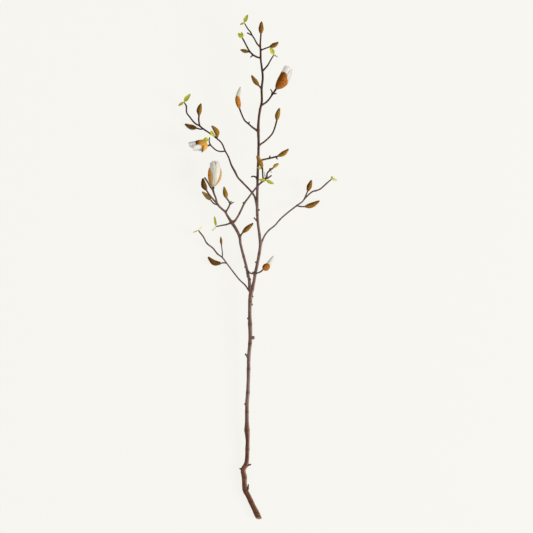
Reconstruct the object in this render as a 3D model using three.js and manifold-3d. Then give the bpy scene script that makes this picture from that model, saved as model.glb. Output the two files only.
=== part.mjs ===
// A cut magnolia branch lying on a flat surface: woody stem and shoots, closed furry buds,
// five blossoms at different stages and young leaves.
// Millimetres. +Y runs from the cut end to the top of the branch, +X to its right, +Z is up
// from the surface. The origin is on the surface, under the middle of the branch.
import * as THREE from 'three';
import { mergeVertices } from 'three/addons/utils/BufferGeometryUtils.js';
import Module from 'manifold-3d';

const wasm = await Module();
wasm.setup();

// ---- Driving dimensions ----
const SEAT_GAP = 0.3; // left between two pieces that touch
const SLIVER = 0.03; // a cut leaves no edge much shorter than this
const STEM_SIDES = 12;
const SHOOT_SIDES = 8;
const NUB_SIDES = 6;
const BUD_SIDES = 10;
const PETAL_SIDES = 8;
const WIDE_PETAL_SIDES = 12; // on a blade that wraps more than WIDE_ARC to each side
const WIDE_ARC = 70;
const LEAF_SIDES = 6;
const WOOD_STEP = 24; // length of one straight piece of a shoot
const BUD_STEPS = 7;
const PETAL_STEPS = 7;
const LEAF_STEPS = 5;
const PETAL_THICKNESS = 1.2;
const BRACT_THICKNESS = 1.1;
const LEAF_THICKNESS = 0.9;
const CUT_TILT = THREE.MathUtils.degToRad(32); // slant of the cut face at the stem's foot
const CUT_BLOCK = 40; // edge of the block that trims the foot
const BUD_FOOT = 0.34; // share of the bud's radius at its foot
const BUD_TAPER = 1.15; // above 1 draws a bud's point in
const BUD_TIP = 0.1; // share of the bud's radius at its blunt tip
const BLADE_FOOT = 0.5; // share of a blade's width at its foot
const LEAF_FOLD = 0.25; // rise of a leaf's edges over its midrib, per unit of width
const LEAF_ARCH = 0.15; // rise of a leaf's middle, per unit of width

const PAINT = {
  wood: [0x6e5149, 0.8],
  bud: [0xa0762c, 0.95],
  bract: [0xa5601e, 0.9],
  petal: [0xebe8de, 0.6],
  leaf: [0xaab428, 0.55],
};

// ---- Wood ----
// A route is a list of [x, y, z, radius]. It starts on the axis of what it grows from.
const MAIN_STEM = [
  [4, -649, 6.9, 6.9], [-4, -632, 7, 6.9], [-11, -618, 7.3, 6.7], [-18, -603, 7.8, 6.5],
  [-26, -586, 8.6, 6.5], [-32, -575, 9.4, 6.5], [-34.5, -561, 10.2, 6.5],
  [-35, -540, 11.2, 6.4], [-38, -521, 12, 6.6], [-31, -508, 12.8, 5.8],
  [-28.2, -494, 13.6, 5.4], [-27.2, -468, 15, 5.1], [-26.6, -444, 16, 5.3],
  [-28.2, -419, 17, 6.6], [-28.4, -398, 18, 5.2], [-28.4, -372, 19, 4.7],
  [-28, -345, 20.4, 4.9], [-26, -322, 21.6, 4.7], [-25, -298, 22.8, 4.4],
  [-24, -262, 24.8, 4.6], [-23.6, -230, 26.4, 4.6], [-20.4, -196, 28, 4.8],
  [-19.4, -177, 29, 5], [-20.2, -146, 30.6, 5.3], [-21, -117, 32, 4.6],
  [-20.2, -88, 33.4, 4.8], [-18.4, -70, 34.4, 5.6],
];
const MAIN_STEM_NUBS = [
  [[-32.8, -573, 9.6, 2.2], [-26.4, -570, 13, 2.2], [-24.6, -558, 15, 1.5]],
  [[-37.5, -520, 12, 2.8], [-48, -518, 13, 1.1]],
  [[-32, -511, 12.6, 2.3], [-17.5, -507, 16, 1.7]],
  [[-28.4, -353, 20, 2.6], [-35, -351, 22, 1.7]],
  [[-23.4, -234, 26.2, 2], [-33.4, -221, 29, 1.3]],
  [[-19.6, -180, 28.9, 2.8], [-8, -178, 31, 2.5]],
  [[-20.6, -134, 31.2, 2.4], [-27.6, -130, 33, 1.9]],
];

const LEADER = [
  [-18.4, -70, 34.4, 5.6], [-14.8, -56, 35.2, 4.6], [-10.6, -38, 36.2, 4.1],
  [-7, -16, 37.4, 4], [-2, 7, 38.6, 4], [3.4, 36, 40.2, 3.9],
  [6, 57, 41.4, 3.9], [4, 84, 42.8, 3.5], [0.8, 107, 44, 3.3], [-1.6, 134, 45.6, 3.2],
  [-2, 158, 47, 3.3], [-1.4, 205, 49.4, 3], [-0.4, 247, 51.8, 2.9], [1, 282, 53.8, 2.9],
  [1.8, 326, 56, 2.8], [0.8, 352, 57.6, 2.8], [2.2, 382, 59.6, 2.6], [5.6, 406, 61.4, 2.7],
  [9.8, 425, 62.6, 2.6], [9.6, 461, 65, 2.4], [12.4, 487, 66.8, 2.3], [10.8, 507, 68, 2.3],
  [7.3, 533, 70, 2.1], [6.8, 559, 71.6, 1.9], [5.8, 569, 72.4, 1.9], [6.6, 584, 73.8, 1.7],
  [7.8, 601, 75.2, 1.7],
];
const LEADER_NUBS = [
  [[-1, 11, 38.8, 2], [-7.4, 14, 40.4, 1.4]],
  [[-0.6, 118, 44.7, 1.8], [-11, 128, 47, 1.2]],
  [[-1.8, 146, 46.3, 1.8], [4.6, 148.4, 47.6, 1.4]],
  [[-1, 223, 50.4, 1.7], [-4.4, 231, 53, 1.7], [-10.6, 234, 54.4, 1.6], [-18, 232.4, 54.6, 1.4]],
];
const LEADER_STALKS = [
  [[11.4, 504, 67.8, 1.8], [24, 518, 74, 1.6], [33.4, 534, 80.4, 1.4], [40.2, 545, 84.6, 1.3]],
  [[9.6, 459, 65, 1.6], [6, 463, 69, 1.5], [1.6, 468, 73, 1.6]],
  [[6.8, 558, 71.5, 1.6], [18.8, 563.4, 76, 1.4], [27, 567, 79, 1.4], [31.6, 569, 80.6, 1.7]],
];

const LEFT_LIMB = [
  [-17.6, -66, 34.6, 4], [-21, -50, 35.4, 3.6], [-22.2, -33, 35, 3.2], [-26, -16.5, 34, 3.1],
  [-30.2, 3, 32.6, 3.1], [-36.7, 28, 30.6, 3], [-45, 61, 28.6, 2.9], [-47, 78, 28, 3],
  [-56.5, 98.5, 28, 2.8], [-68, 116, 29, 3.5], [-80, 135, 30.4, 2.6], [-83.4, 142, 31, 2.7],
  [-93, 150.5, 32, 2.4], [-103, 161, 33.4, 2.5], [-108.8, 179, 35.4, 2.2],
  [-115, 196, 38, 2.3], [-116.2, 207.6, 39.6, 2.6],
];
const LEFT_LIMB_SIDES = [
  [[-103.4, 161.6, 33.4, 2], [-110, 169, 36.4, 1.8], [-125.4, 187, 39.6, 1.8], [-132.6, 198.2, 40.4, 2]],
  [[-103.4, 161.6, 33.4, 1.8], [-112.6, 165, 28, 1.6], [-121.6, 174.4, 20.6, 1.7]],
  [[-115.4, 198, 38.4, 1.6], [-121.8, 206.4, 44, 1.5], [-130, 220.6, 49, 1.4], [-137.6, 231.4, 51, 1.2]],
  [[-115.6, 201, 38.8, 1.5], [-112.6, 206.4, 42.4, 1.1]],
  [[-83.2, 141.6, 31, 2], [-76, 153.6, 36, 1.7], [-72.4, 164, 41, 1.8], [-81.2, 178.6, 47, 1.7]],
  [[-72.8, 163, 40.6, 1.4], [-68, 170.6, 45, 1]],
  [[-73.4, 161.4, 40, 1.4], [-61.8, 168, 43, 1.1]],
  [[-47, 77.8, 28, 1.9], [-43, 84, 31, 1.6], [-39, 89.4, 33.6, 1.8]],
  [[-67, 115.4, 29, 2], [-81, 110, 26, 1.6], [-90, 108.4, 23, 1.5], [-106.4, 105, 18.6, 1.3]],
  [[-22.4, -36, 35, 1.8], [-18.6, -29, 38.6, 1.3]],
];
const LOWER_LEFT_SHOOT = [
  [-18.2, -65, 34, 2.8], [-25.4, -56.4, 32, 2.6], [-33.4, -45.4, 29.4, 2.3],
  [-48, -31.6, 25, 2.1], [-60, -16.5, 21.4, 2], [-81, 11, 15.4, 2], [-92, 25.4, 14, 2.1],
  [-104, 34.4, 14.4, 1.8], [-115.6, 49, 15.4, 1.7], [-131.4, 62, 17.2, 1.6],
  [-140.2, 78, 19.4, 1.5], [-148.4, 88.8, 21, 1.4], [-153.2, 95, 22, 1.2],
];
const LOWER_LEFT_SIDES = [
  [[-81, 11, 15.4, 1.7], [-88, 11.6, 10.4, 1.5], [-96, 10.2, 7.4, 1.6]],
  [[-92, 25.4, 14, 1.5], [-91.4, 34, 18, 1.3], [-93.8, 57.6, 26, 1.2]],
];
const RIGHT_SHOOT = [
  [5.8, 53, 41.2, 2.9], [11.8, 70, 39.4, 2.5], [19, 84.4, 36.4, 2.3], [29.4, 96.6, 33, 2.2],
  [42.8, 107, 29.4, 2.1], [56.8, 123, 25.4, 2.1], [75, 139.4, 20.6, 2.1],
  [100, 158.8, 15.6, 2.1], [114, 168.8, 15, 2], [119.6, 176, 15.6, 2], [140.6, 195, 18, 1.7],
  [148.8, 197, 18.8, 1.8], [160, 201.4, 20.2, 1.5], [176.8, 216, 23, 1.4], [189, 226.6, 25, 1.2],
];
const RIGHT_SHOOT_SIDES = [
  [[100, 158.8, 15.6, 1.8], [108, 156.6, 11, 1.6], [121.8, 156, 7.6, 1.8]],
  [[119.6, 176, 15.6, 1.7], [123.6, 186, 20, 1.5], [128.4, 196.6, 25, 1.7]],
];
const CROSSING_SHOOT = [
  [-67, 115.6, 29, 2.6], [-60, 119, 32.6, 2.5], [-52.6, 128, 38, 2.3], [-46, 138.4, 43, 2.2],
  [-37.8, 150, 48, 2.3], [-33.6, 163.6, 52.4, 2.2], [-24, 177.8, 56, 2.1],
  [-14.8, 192, 58.6, 2.1], [-3.6, 205.6, 60.2, 2.1], [8.6, 218.4, 61.4, 2.2], [18.4, 224.4, 62.4, 2.6],
];
const CROSSING_SIDES = [
  [[17.6, 224.2, 62.2, 1.9], [13.4, 230, 65, 1.6], [12, 246, 68, 1.6], [11.2, 257.4, 70, 1.8]],
  [
    [17.6, 224.2, 62.2, 2], [22.4, 232, 66, 1.8], [24, 242, 69, 1.7], [32, 250.4, 72, 1.8],
    [39, 255.8, 74, 1.6],
  ],
  [[20.4, 228, 64, 1.7], [26, 230, 66, 1.6], [35.4, 236.4, 68, 1.5]],
  [[31.4, 250, 72, 1.5], [31, 255, 75.4, 1.1]],
  [[-33.8, 162.4, 52, 1.6], [-38.4, 169, 54, 1.2]],
];
const UPPER_LEFT_SHOOT = [
  [-2, 155, 46.8, 2.7], [-5, 169, 46.6, 2.5], [-9.6, 183.4, 46, 2.3], [-16.4, 193.6, 45.6, 2.2],
  [-27.4, 205.6, 45, 2.2], [-40, 218.6, 44, 2.1], [-52, 231.6, 42.6, 2.1],
  [-58.6, 245, 41, 2.1], [-68, 262, 38.6, 2], [-75.8, 283.6, 35, 2], [-84.6, 300, 32.6, 2],
  [-93.4, 319.6, 29.4, 1.9], [-105.4, 331, 26.4, 1.9], [-123.4, 344.6, 21, 1.9],
  [-141.4, 356.6, 16.6, 2], [-150, 363.6, 15.6, 2], [-162.4, 371, 16, 1.9], [-174.8, 386, 19, 1.7],
  [-183.4, 398, 22, 1.8], [-184.4, 415, 26, 1.8], [-189.6, 424, 28.6, 1.4],
];
const UPPER_LEFT_SIDES = [
  [[-150, 363.6, 15.6, 1.7], [-152.4, 379, 19.6, 1.6], [-151.6, 392, 23.4, 2]],
  [[-141.4, 356.6, 16.6, 1.6], [-148, 355.4, 12, 1.4], [-158.6, 358.6, 8, 1.7]],
  [[-105.4, 331, 26.4, 1.7], [-105.6, 335, 31.6, 2]],
  [[-57.8, 243, 41.2, 1.6], [-62, 250, 45, 1.1]],
];
const LOOP_SHOOT = [
  [-84, 298.8, 32.7, 2], [-96.4, 298, 34.4, 1.9], [-106.4, 300.6, 36.6, 1.8],
  [-114.6, 307, 39.4, 1.7], [-122, 315, 42.6, 1.8], [-125, 322, 45, 1.7], [-124.4, 334.4, 48, 1.5],
];
const LOOP_SHOOT_SIDES = [[[-122, 315, 42.6, 1.7], [-129, 312.6, 44.6, 2.2]]];
const TOP_SHOOT = [
  [6, 566, 72.2, 1.6], [-2.4, 575, 76, 1.5], [-9.6, 588, 80, 1.4], [-15.4, 597, 83, 1.4],
  [-19, 604.4, 85.4, 1.4], [-26, 613, 88, 1.2], [-34.6, 627, 91, 1.1],
];
const TOP_SHOOT_SIDES = [[[-17, 600, 84, 1.3], [-28.4, 603.4, 85, 1]]];
const TOP_LEFT_SHOOT = [
  [7.2, 538, 70.4, 1.6], [-3.6, 541, 68, 1.5], [-13.2, 546.6, 65, 1.5], [-21.6, 555.6, 62, 1.5],
  [-29.4, 569.4, 60.4, 1.3], [-36.4, 583, 60.6, 1.3], [-41.2, 591, 61.4, 1.2],
];
const TOP_LEFT_SIDES = [
  [[-12.6, 546, 65.2, 1.3], [-20, 539.4, 64, 1]],
  [[-20.6, 554.4, 62.4, 1.5], [-24.6, 554.2, 59, 1.6]],
];
const UPPER_RIGHT_STALK = [
  [8, 416, 62, 2.2], [22.8, 425.6, 69, 2.1], [36, 442.4, 80, 2.1], [47, 459, 91.6, 2.6],
];
const UPPER_RIGHT_NUBS = [
  [[35, 441, 79.2, 1.6], [36, 452, 85, 1.2], [31.6, 458, 87, 1]],
  [[38.6, 446.4, 83, 1.5], [48.6, 446.4, 83.6, 1.1]],
];
const UPPER_LEFT_STALK = [
  [0.8, 350, 57.4, 2.1], [-14, 360, 53.6, 1.9], [-24.4, 369, 50.4, 2], [-34, 377.6, 47.6, 1.8],
  [-42, 394, 44, 1.8], [-47.8, 409.6, 42, 2.1],
];
const UPPER_LEFT_NUBS = [[[-24.4, 369, 50.4, 1.6], [-21.6, 374.4, 54, 1.1]]];
const LOW_BUD_STALK = [
  [1.8, 313, 55.4, 2], [20, 326, 51, 1.8], [37, 344, 45.6, 1.8], [43.6, 360, 42, 1.7],
  [48.6, 378.4, 39.6, 2],
];
const LEVEL_BUD_STALK = [
  [0.8, 274, 53.4, 2], [14.6, 277, 57.4, 1.8], [33, 281, 63.4, 1.9], [52.4, 285.8, 69.6, 1.9],
];
const LEVEL_BUD_NUBS = [
  [[29.6, 280.2, 62.2, 1.5], [31.2, 287.6, 64.6, 1.2]],
  [[46, 284.2, 67.6, 1.5], [50.6, 277.4, 68.4, 1.1]],
];
const LOWER_STALK = [
  [-29, -3, 33, 2], [-23.6, -12, 39, 1.9], [-14, -16.6, 44.6, 1.8], [-2.4, -15, 47, 1.8],
  [7.4, -10.6, 47.6, 1.9], [13.6, -4.8, 47.4, 2.2],
];
const LOWER_STALK_NUBS = [[[-13.6, -16.6, 44.8, 1.6], [-12, -11, 48.2, 1.2]]];

// Each entry is one stem: its axis first, then the stalks, nubs and spurs that are one with it.
const WOOD = [
  ['main_stem', [], [MAIN_STEM, ...MAIN_STEM_NUBS]],
  ['leader', ['main_stem'], [LEADER, ...LEADER_NUBS, ...LEADER_STALKS]],
  ['left_limb', ['main_stem', 'leader'], [LEFT_LIMB, ...LEFT_LIMB_SIDES]],
  ['lower_left_shoot', ['main_stem', 'leader', 'left_limb'], [LOWER_LEFT_SHOOT, ...LOWER_LEFT_SIDES]],
  ['right_shoot', ['leader'], [RIGHT_SHOOT, ...RIGHT_SHOOT_SIDES]],
  ['crossing_shoot', ['left_limb'], [CROSSING_SHOOT, ...CROSSING_SIDES]],
  ['upper_left_shoot', ['leader'], [UPPER_LEFT_SHOOT, ...UPPER_LEFT_SIDES]],
  ['loop_shoot', ['upper_left_shoot'], [LOOP_SHOOT, ...LOOP_SHOOT_SIDES]],
  ['top_shoot', ['leader'], [TOP_SHOOT, ...TOP_SHOOT_SIDES]],
  ['top_left_shoot', ['leader'], [TOP_LEFT_SHOOT, ...TOP_LEFT_SIDES]],
  ['upper_right_stalk', ['leader'], [UPPER_RIGHT_STALK, ...UPPER_RIGHT_NUBS]],
  ['upper_left_stalk', ['leader'], [UPPER_LEFT_STALK, ...UPPER_LEFT_NUBS]],
  ['low_bud_stalk', ['leader'], [LOW_BUD_STALK]],
  ['level_bud_stalk', ['leader'], [LEVEL_BUD_STALK, ...LEVEL_BUD_NUBS]],
  ['lower_stalk', ['left_limb'], [LOWER_STALK, ...LOWER_STALK_NUBS]],
];

// ---- Closed buds, from the top of the branch down ----
// Stem that carries the bud, the bud's axis from its foot to its tip, its largest radius and
// how far along its length that is.
const CLOSED_BUDS = [
  ['leader', [[7.8, 601, 75.2], [8.4, 617, 77.4], [9.4, 632, 79]], 6.7, 0.4],
  ['leader', [[31.6, 569, 80.6], [42, 576, 83.6], [53.6, 580.6, 86]], 5.8, 0.4],
  ['top_left_shoot', [[-24.6, 554.2, 59], [-35, 556.4, 55], [-45.2, 559.6, 52]], 4.9, 0.42],
  ['leader', [[1.6, 468, 73], [-7.6, 479.6, 77], [-16.8, 494, 79.6]], 6, 0.38],
  ['low_bud_stalk', [[48.6, 378.4, 39.6], [51, 394, 37.4], [55.8, 409.6, 36.4]], 6.4, 0.4],
  ['level_bud_stalk', [[52.4, 285.8, 69.6], [67, 293, 73], [79.2, 304.4, 74.6]], 6.2, 0.4],
  ['crossing_shoot', [[11.2, 257.4, 70], [5.4, 271.6, 72.4], [-3.2, 287.4, 74]], 6.5, 0.42],
  ['crossing_shoot', [[39, 255.8, 74], [46.4, 262, 76.4], [53.8, 266.4, 77.8]], 3.9, 0.5],
  ['upper_left_shoot', [[-151.6, 392, 23.4], [-150.6, 407, 26.6], [-146.2, 421.6, 28.6]], 6.9, 0.38],
  ['upper_left_shoot', [[-158.6, 358.6, 8], [-173.6, 361.4, 6.7], [-188.2, 369, 8]], 6.4, 0.36],
  ['upper_left_shoot', [[-105.6, 335, 31.6], [-102.4, 348, 36.6], [-117.6, 365, 39.6]], 6.2, 0.45],
  ['left_limb', [[-132.6, 198.2, 40.4], [-139.6, 212.6, 41], [-141.4, 229.4, 40]], 7, 0.4],
  ['left_limb', [[-121.6, 174.4, 20.6], [-132, 184, 16], [-144, 194.6, 13]], 6.2, 0.3],
  ['left_limb', [[-81.2, 178.6, 47], [-84.4, 192.6, 50.6], [-87.2, 207.4, 53]], 6.2, 0.32],
  ['left_limb', [[-39, 89.4, 33.6], [-26, 101, 35.4], [-12, 113.6, 35]], 6.4, 0.36],
  ['lower_left_shoot', [[-93.8, 57.6, 26], [-94.6, 67, 29.6], [-95.4, 79, 33]], 3.2, 0.42],
  ['lower_left_shoot', [[-96, 10.2, 7.4], [-112.4, 11, 6.4], [-128.6, 26.6, 8]], 6.4, 0.4],
  ['right_shoot', [[128.4, 196.6, 25], [133.4, 210.6, 29], [138, 224.6, 31]], 6.2, 0.38],
  ['right_shoot', [[121.8, 156, 7.6], [139, 159.8, 6.9], [158.8, 171.2, 8]], 6.8, 0.38],
];

// ---- Blossoms ----
// A blade is [name, bearing, half arc, radius, start, end, lift]. It wraps round the blossom's
// axis at that radius. The bearing, in degrees, is 0 on top and 90 on the right, looking from
// the stalk to the tip. Start and end are shares of the axis, and lift opens the blade's tip.
const BLOSSOMS = [
  ['upper_right_blossom', 'upper_right_stalk', [[47, 459, 91.6], [66.4, 482, 98.6], [79, 518.6, 105]], [
    ['bract_left', -46, 88, 14, 0, 0.68, 0],
    ['bract_right', 92, 44, 14, 0, 0.54, 0],
    ['petal_left', -64, 56, 11.6, 0, 1, -0.2],
    ['petal_right', 60, 56, 11.6, 0, 0.96, 0.35],
  ]],
  ['upper_left_blossom', 'upper_left_stalk', [[-47.8, 409.6, 42], [-52, 436, 46], [-44.4, 465, 50]], [
    ['bract', -10, 140, 6.2, 0, 0.56, 0],
    ['petal', 0, 150, 4.2, 0, 1, 0],
  ]],
  ['large_blossom', 'left_limb', [[-116.2, 207.6, 39.6], [-110.6, 240, 44], [-111.8, 275, 47]], [
    ['bract_left', -98, 40, 17.6, 0, 0.72, 0],
    ['bract_right', 100, 46, 16.8, 0, 0.66, 0],
    ['petal_left', -60, 56, 14.4, 0, 0.95, -0.1],
    ['petal_right', 60, 56, 14.4, 0, 1, -0.05],
    ['petal_back', 180, 56, 14.4, 0, 0.98, -0.1],
  ]],
  ['split_blossom', 'loop_shoot', [[-129, 312.6, 44.6], [-152, 313.4, 46.6], [-177, 313, 46]], [
    ['bract_upper', 60, 68, 15.4, 0, 0.66, -0.1],
    ['bract_lower', -80, 54, 15.4, 0, 0.46, 0],
    ['petal_upper', 44, 56, 12.8, 0, 1, 0],
    ['petal_lower', -74, 56, 12.8, 0, 0.8, 0.1],
  ]],
  ['lower_blossom', 'lower_stalk', [[13.6, -4.8, 47.4], [26, 8.6, 35], [40, 28.6, 20]], [
    ['bract', 0, 146, 9.2, 0, 0.42, 0],
    ['petal', 0, 148, 6.1, 0, 1, -0.1],
  ]],
];
const BLOOM_OUTLINE = [[0, 0], [0.08, 0.3], [0.22, 0.72], [0.42, 1], [0.62, 0.97], [0.82, 0.74], [1, 0.42]];
const FOOT_RADIUS = { bract: 2.6, petal: 1.2 }; // of a blade, where it leaves the stalk

// ---- Young leaves ----
// A tuft is what one leaf bud has opened into: its name, the stem it grows on, its foot, and a
// list of [tip, width, roll about the leaf's own length in degrees].
const LEAF_TUFTS = [
  ['top_leaves', 'top_shoot', [-35.6, 628.6, 91.6], [
    [[-26, 649.6, 97], 10.5, 15], [[-46.4, 622.6, 93], 6, -10],
  ]],
  ['top_left_leaf', 'top_left_shoot', [-42.2, 592.4, 61.8], [[[-51, 604, 66], 9, 20]]],
  ['leaf_shoot_leaves', 'leader', [41, 546.4, 85.4], [
    [[31.6, 565.4, 89], 10.5, -15], [[51.4, 539.4, 87], 5.6, 10],
  ]],
  ['upper_left_leaves', 'upper_left_shoot', [-190.6, 425.2, 29.2], [
    [[-173.4, 446.4, 36], 11, 20], [[-205, 415.6, 28], 7.4, -15],
  ]],
  ['bright_leaf', 'upper_left_shoot', [-112.4, 337.4, 27.6], [[[-121.6, 350, 35], 8.5, 25]]],
  ['loop_leaf', 'loop_shoot', [-126.8, 328.4, 48], [[[-141, 328, 50], 10, -20]]],
  ['cluster_leaves', 'crossing_shoot', [20.6, 223.4, 66], [
    [[41, 214.4, 62], 10, 10], [[2, 225.6, 70], 8.5, -10],
  ]],
  ['right_leaves', 'right_shoot', [190, 227.8, 25.4], [
    [[191.6, 236, 29], 5, 20], [[204.6, 224.4, 27], 6, 10],
  ]],
  ['side_leaves', 'left_limb', [-107.6, 104.8, 18.4], [
    [[-112, 132, 24], 7.4, 20], [[-119.4, 93, 19], 5, -10],
  ]],
];
const LEAF_FOOT_RADIUS = 1.5;

// ---- Geometry ----
const UP = new THREE.Vector3(0, 0, 1);

function curveThrough(points) {
  const stations = points.map(([x, y, z]) => new THREE.Vector3(x, y, z));
  return new THREE.CatmullRomCurve3(stations, false, 'centripetal');
}

// Moves a shape built along Y, from 0 to 1, onto a curve. place() gives the two offsets of a
// vertex: to the right of the curve, and up from it.
function lay(geometry, curve, place) {
  const positions = geometry.getAttribute('position');
  const vertex = new THREE.Vector3();
  for (let i = 0; i < positions.count; i += 1) {
    vertex.fromBufferAttribute(positions, i);
    const share = Math.min(Math.max(vertex.y, 0), 1);
    const along = curve.getTangentAt(share);
    const right = new THREE.Vector3().crossVectors(along, UP).normalize();
    const up = new THREE.Vector3().crossVectors(right, along);
    const [side, lift] = place(share, vertex.x, vertex.z);
    const beyond = (vertex.y - share) * curve.getLength();
    const spot = curve.getPointAt(share).addScaledVector(along, beyond);
    spot.addScaledVector(right, side).addScaledVector(up, lift);
    positions.setXYZ(i, spot.x, spot.y, spot.z);
  }
  return geometry;
}

function solidOf(geometry) {
  geometry.deleteAttribute('normal');
  geometry.deleteAttribute('uv');
  const merged = mergeVertices(geometry, 1e-3);
  const found = merged.index.array;
  const position = merged.getAttribute('position');
  const corners = [];
  let volume = 0;
  for (let i = 0; i < found.length; i += 3) {
    const [a, b, c] = [found[i], found[i + 1], found[i + 2]];
    if (a === b || b === c || c === a) continue;
    corners.push(a, b, c);
    const [p, q, r] = [a, b, c].map((k) => new THREE.Vector3().fromBufferAttribute(position, k));
    volume += p.dot(q.cross(r));
  }
  if (volume < 0) corners.reverse();
  const mesh = new wasm.Mesh({
    numProp: 3,
    vertProperties: new Float32Array(position.array),
    triVerts: new Uint32Array(corners),
  });
  mesh.merge();
  return new wasm.Manifold(mesh);
}

function geometryOf(solid) {
  const mesh = solid.asOriginal().simplify(SLIVER).getMesh();
  const geometry = new THREE.BufferGeometry();
  geometry.setAttribute('position', new THREE.BufferAttribute(mesh.vertProperties, mesh.numProp));
  geometry.setIndex(new THREE.BufferAttribute(mesh.triVerts, 1));
  return geometry;
}

function valueAt(outline, share) {
  const next = outline.findIndex(([at]) => at >= share);
  if (next <= 0) return outline[next === 0 ? 0 : outline.length - 1][1];
  const [[fromShare, from], [toShare, to]] = [outline[next - 1], outline[next]];
  return THREE.MathUtils.lerp(from, to, (share - fromShare) / (toShare - fromShare));
}

// A closed, tapering round rod along a route. extra thickens and lengthens it all over.
function rod(route, sides, extra = 0) {
  const curve = curveThrough(route);
  const length = curve.getLength();
  const steps = Math.max(2, Math.round(length / WOOD_STEP), route.length - 1);
  const radiusAt = (share) => {
    const at = curve.getUtoTmapping(share) * (route.length - 1);
    const k = Math.min(Math.floor(at), route.length - 2);
    return THREE.MathUtils.lerp(route[k][3], route[k + 1][3], at - k) + extra;
  };
  const over = extra / length;
  const profile = [new THREE.Vector2(0, -over)];
  for (let i = 0; i <= steps; i += 1) {
    const share = i / steps;
    const end = i === 0 ? -over : i === steps ? over : 0;
    profile.push(new THREE.Vector2(radiusAt(share), share + end));
  }
  profile.push(new THREE.Vector2(0, 1 + over));
  return solidOf(lay(new THREE.LatheGeometry(profile, sides), curve, (share, x, z) => [x, z]));
}

// All of a stem's rods in one solid.
function stem(routes, sides, extra = 0) {
  const rods = routes.map((route, k) => rod(route, k === 0 ? sides : NUB_SIDES, extra));
  return rods.reduce((joined, next) => joined.add(next));
}

// The slanted block that leaves the oblique cut face at the foot of the main stem.
function footTrim() {
  const [foot, above] = MAIN_STEM.map(([x, y, z]) => new THREE.Vector3(x, y, z));
  const along = new THREE.Vector3().subVectors(above, foot).normalize();
  const facing = along.clone().negate().multiplyScalar(Math.cos(CUT_TILT));
  facing.addScaledVector(UP, Math.sin(CUT_TILT)).normalize();
  const block = new THREE.BoxGeometry(CUT_BLOCK, CUT_BLOCK, CUT_BLOCK);
  block.applyQuaternion(new THREE.Quaternion().setFromUnitVectors(UP, facing));
  const middle = foot.clone().addScaledVector(along, MAIN_STEM[0][3] * Math.tan(CUT_TILT));
  middle.addScaledVector(facing, CUT_BLOCK / 2);
  return solidOf(block.translate(middle.x, middle.y, middle.z));
}

// An egg-shaped bud with a narrow foot and a blunt point.
function bud(axis, radius, fullest) {
  const profile = [new THREE.Vector2(0, 0), new THREE.Vector2(radius * BUD_FOOT, 0)];
  for (let i = 1; i < BUD_STEPS; i += 1) {
    const share = i / BUD_STEPS;
    const rising = share < fullest;
    const belly = Math.PI / 2 * (rising ? share / fullest : 1 + (share - fullest) / (1 - fullest));
    const swell = rising ? BUD_FOOT + (1 - BUD_FOOT) * Math.sin(belly) : Math.sin(belly) ** BUD_TAPER;
    profile.push(new THREE.Vector2(radius * Math.max(swell, BUD_TIP), share));
  }
  profile.push(new THREE.Vector2(0, 1));
  const shape = new THREE.LatheGeometry(profile, BUD_SIDES);
  return solidOf(lay(shape, curveThrough(axis), (share, x, z) => [x, z]));
}

// A pointed oval of unit half width, from 0 to 1 along Y, narrow at its foot.
function bladeShape(steps, sides) {
  const profile = [new THREE.Vector2(0, 0), new THREE.Vector2(BLADE_FOOT, 0)];
  for (let i = 1; i < steps; i += 1) {
    const share = i / steps;
    const width = Math.min(1, BLADE_FOOT + 3 * share) * Math.sqrt(1 - share ** 4);
    profile.push(new THREE.Vector2(width, share));
  }
  profile.push(new THREE.Vector2(0, 1));
  return new THREE.LatheGeometry(profile, sides);
}

// A petal or bract: a thin blade wrapped round the blossom's axis.
function wrapped(axis, kind, bearing, halfArc, radius, start, end, lift) {
  const curve = curveThrough(axis);
  const shape = bladeShape(PETAL_STEPS, halfArc > WIDE_ARC ? WIDE_PETAL_SIDES : PETAL_SIDES);
  const first = start + SEAT_GAP / curve.getLength();
  const positions = shape.getAttribute('position');
  for (let i = 0; i < positions.count; i += 1) {
    positions.setY(i, THREE.MathUtils.lerp(first, end, positions.getY(i)));
  }
  const thickness = kind === 'petal' ? PETAL_THICKNESS : BRACT_THICKNESS;
  const place = (share, x, z) => {
    const outline = valueAt(BLOOM_OUTLINE, share) + lift * share ** 5;
    const ring = THREE.MathUtils.lerp(FOOT_RADIUS[kind], radius, outline);
    const angle = THREE.MathUtils.degToRad(bearing + halfArc * x);
    const out = ring + z * thickness / 2 * Math.min(1, 0.7 + outline);
    return [out * Math.sin(angle), out * Math.cos(angle)];
  };
  return solidOf(lay(shape, curve, place));
}

// A leaf: a thin blade, folded a little along its midrib and rolled about it.
function leaf(foot, tip, width, roll) {
  const crest = (foot[2] + tip[2]) / 2 + width * LEAF_ARCH;
  const middle = [(foot[0] + tip[0]) / 2, (foot[1] + tip[1]) / 2, crest];
  const turn = THREE.MathUtils.degToRad(roll);
  const place = (share, x, z) => {
    const across = x * width / 2 * Math.min(1, 0.35 + share * 2);
    const lift = Math.abs(across) * LEAF_FOLD + z * LEAF_THICKNESS / 2;
    return [
      across * Math.cos(turn) - lift * Math.sin(turn),
      across * Math.sin(turn) + lift * Math.cos(turn),
    ];
  };
  const shape = bladeShape(LEAF_STEPS, LEAF_SIDES);
  return solidOf(lay(shape, curveThrough([foot, middle, tip]), place));
}

// The little swelling that the leaves of a tuft share.
function leafFoot([x, y, z]) {
  return solidOf(new THREE.SphereGeometry(LEAF_FOOT_RADIUS, NUB_SIDES, NUB_SIDES - 2).translate(x, y, z));
}

// ---- Assembly ----
const branch = new THREE.Group();

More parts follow.
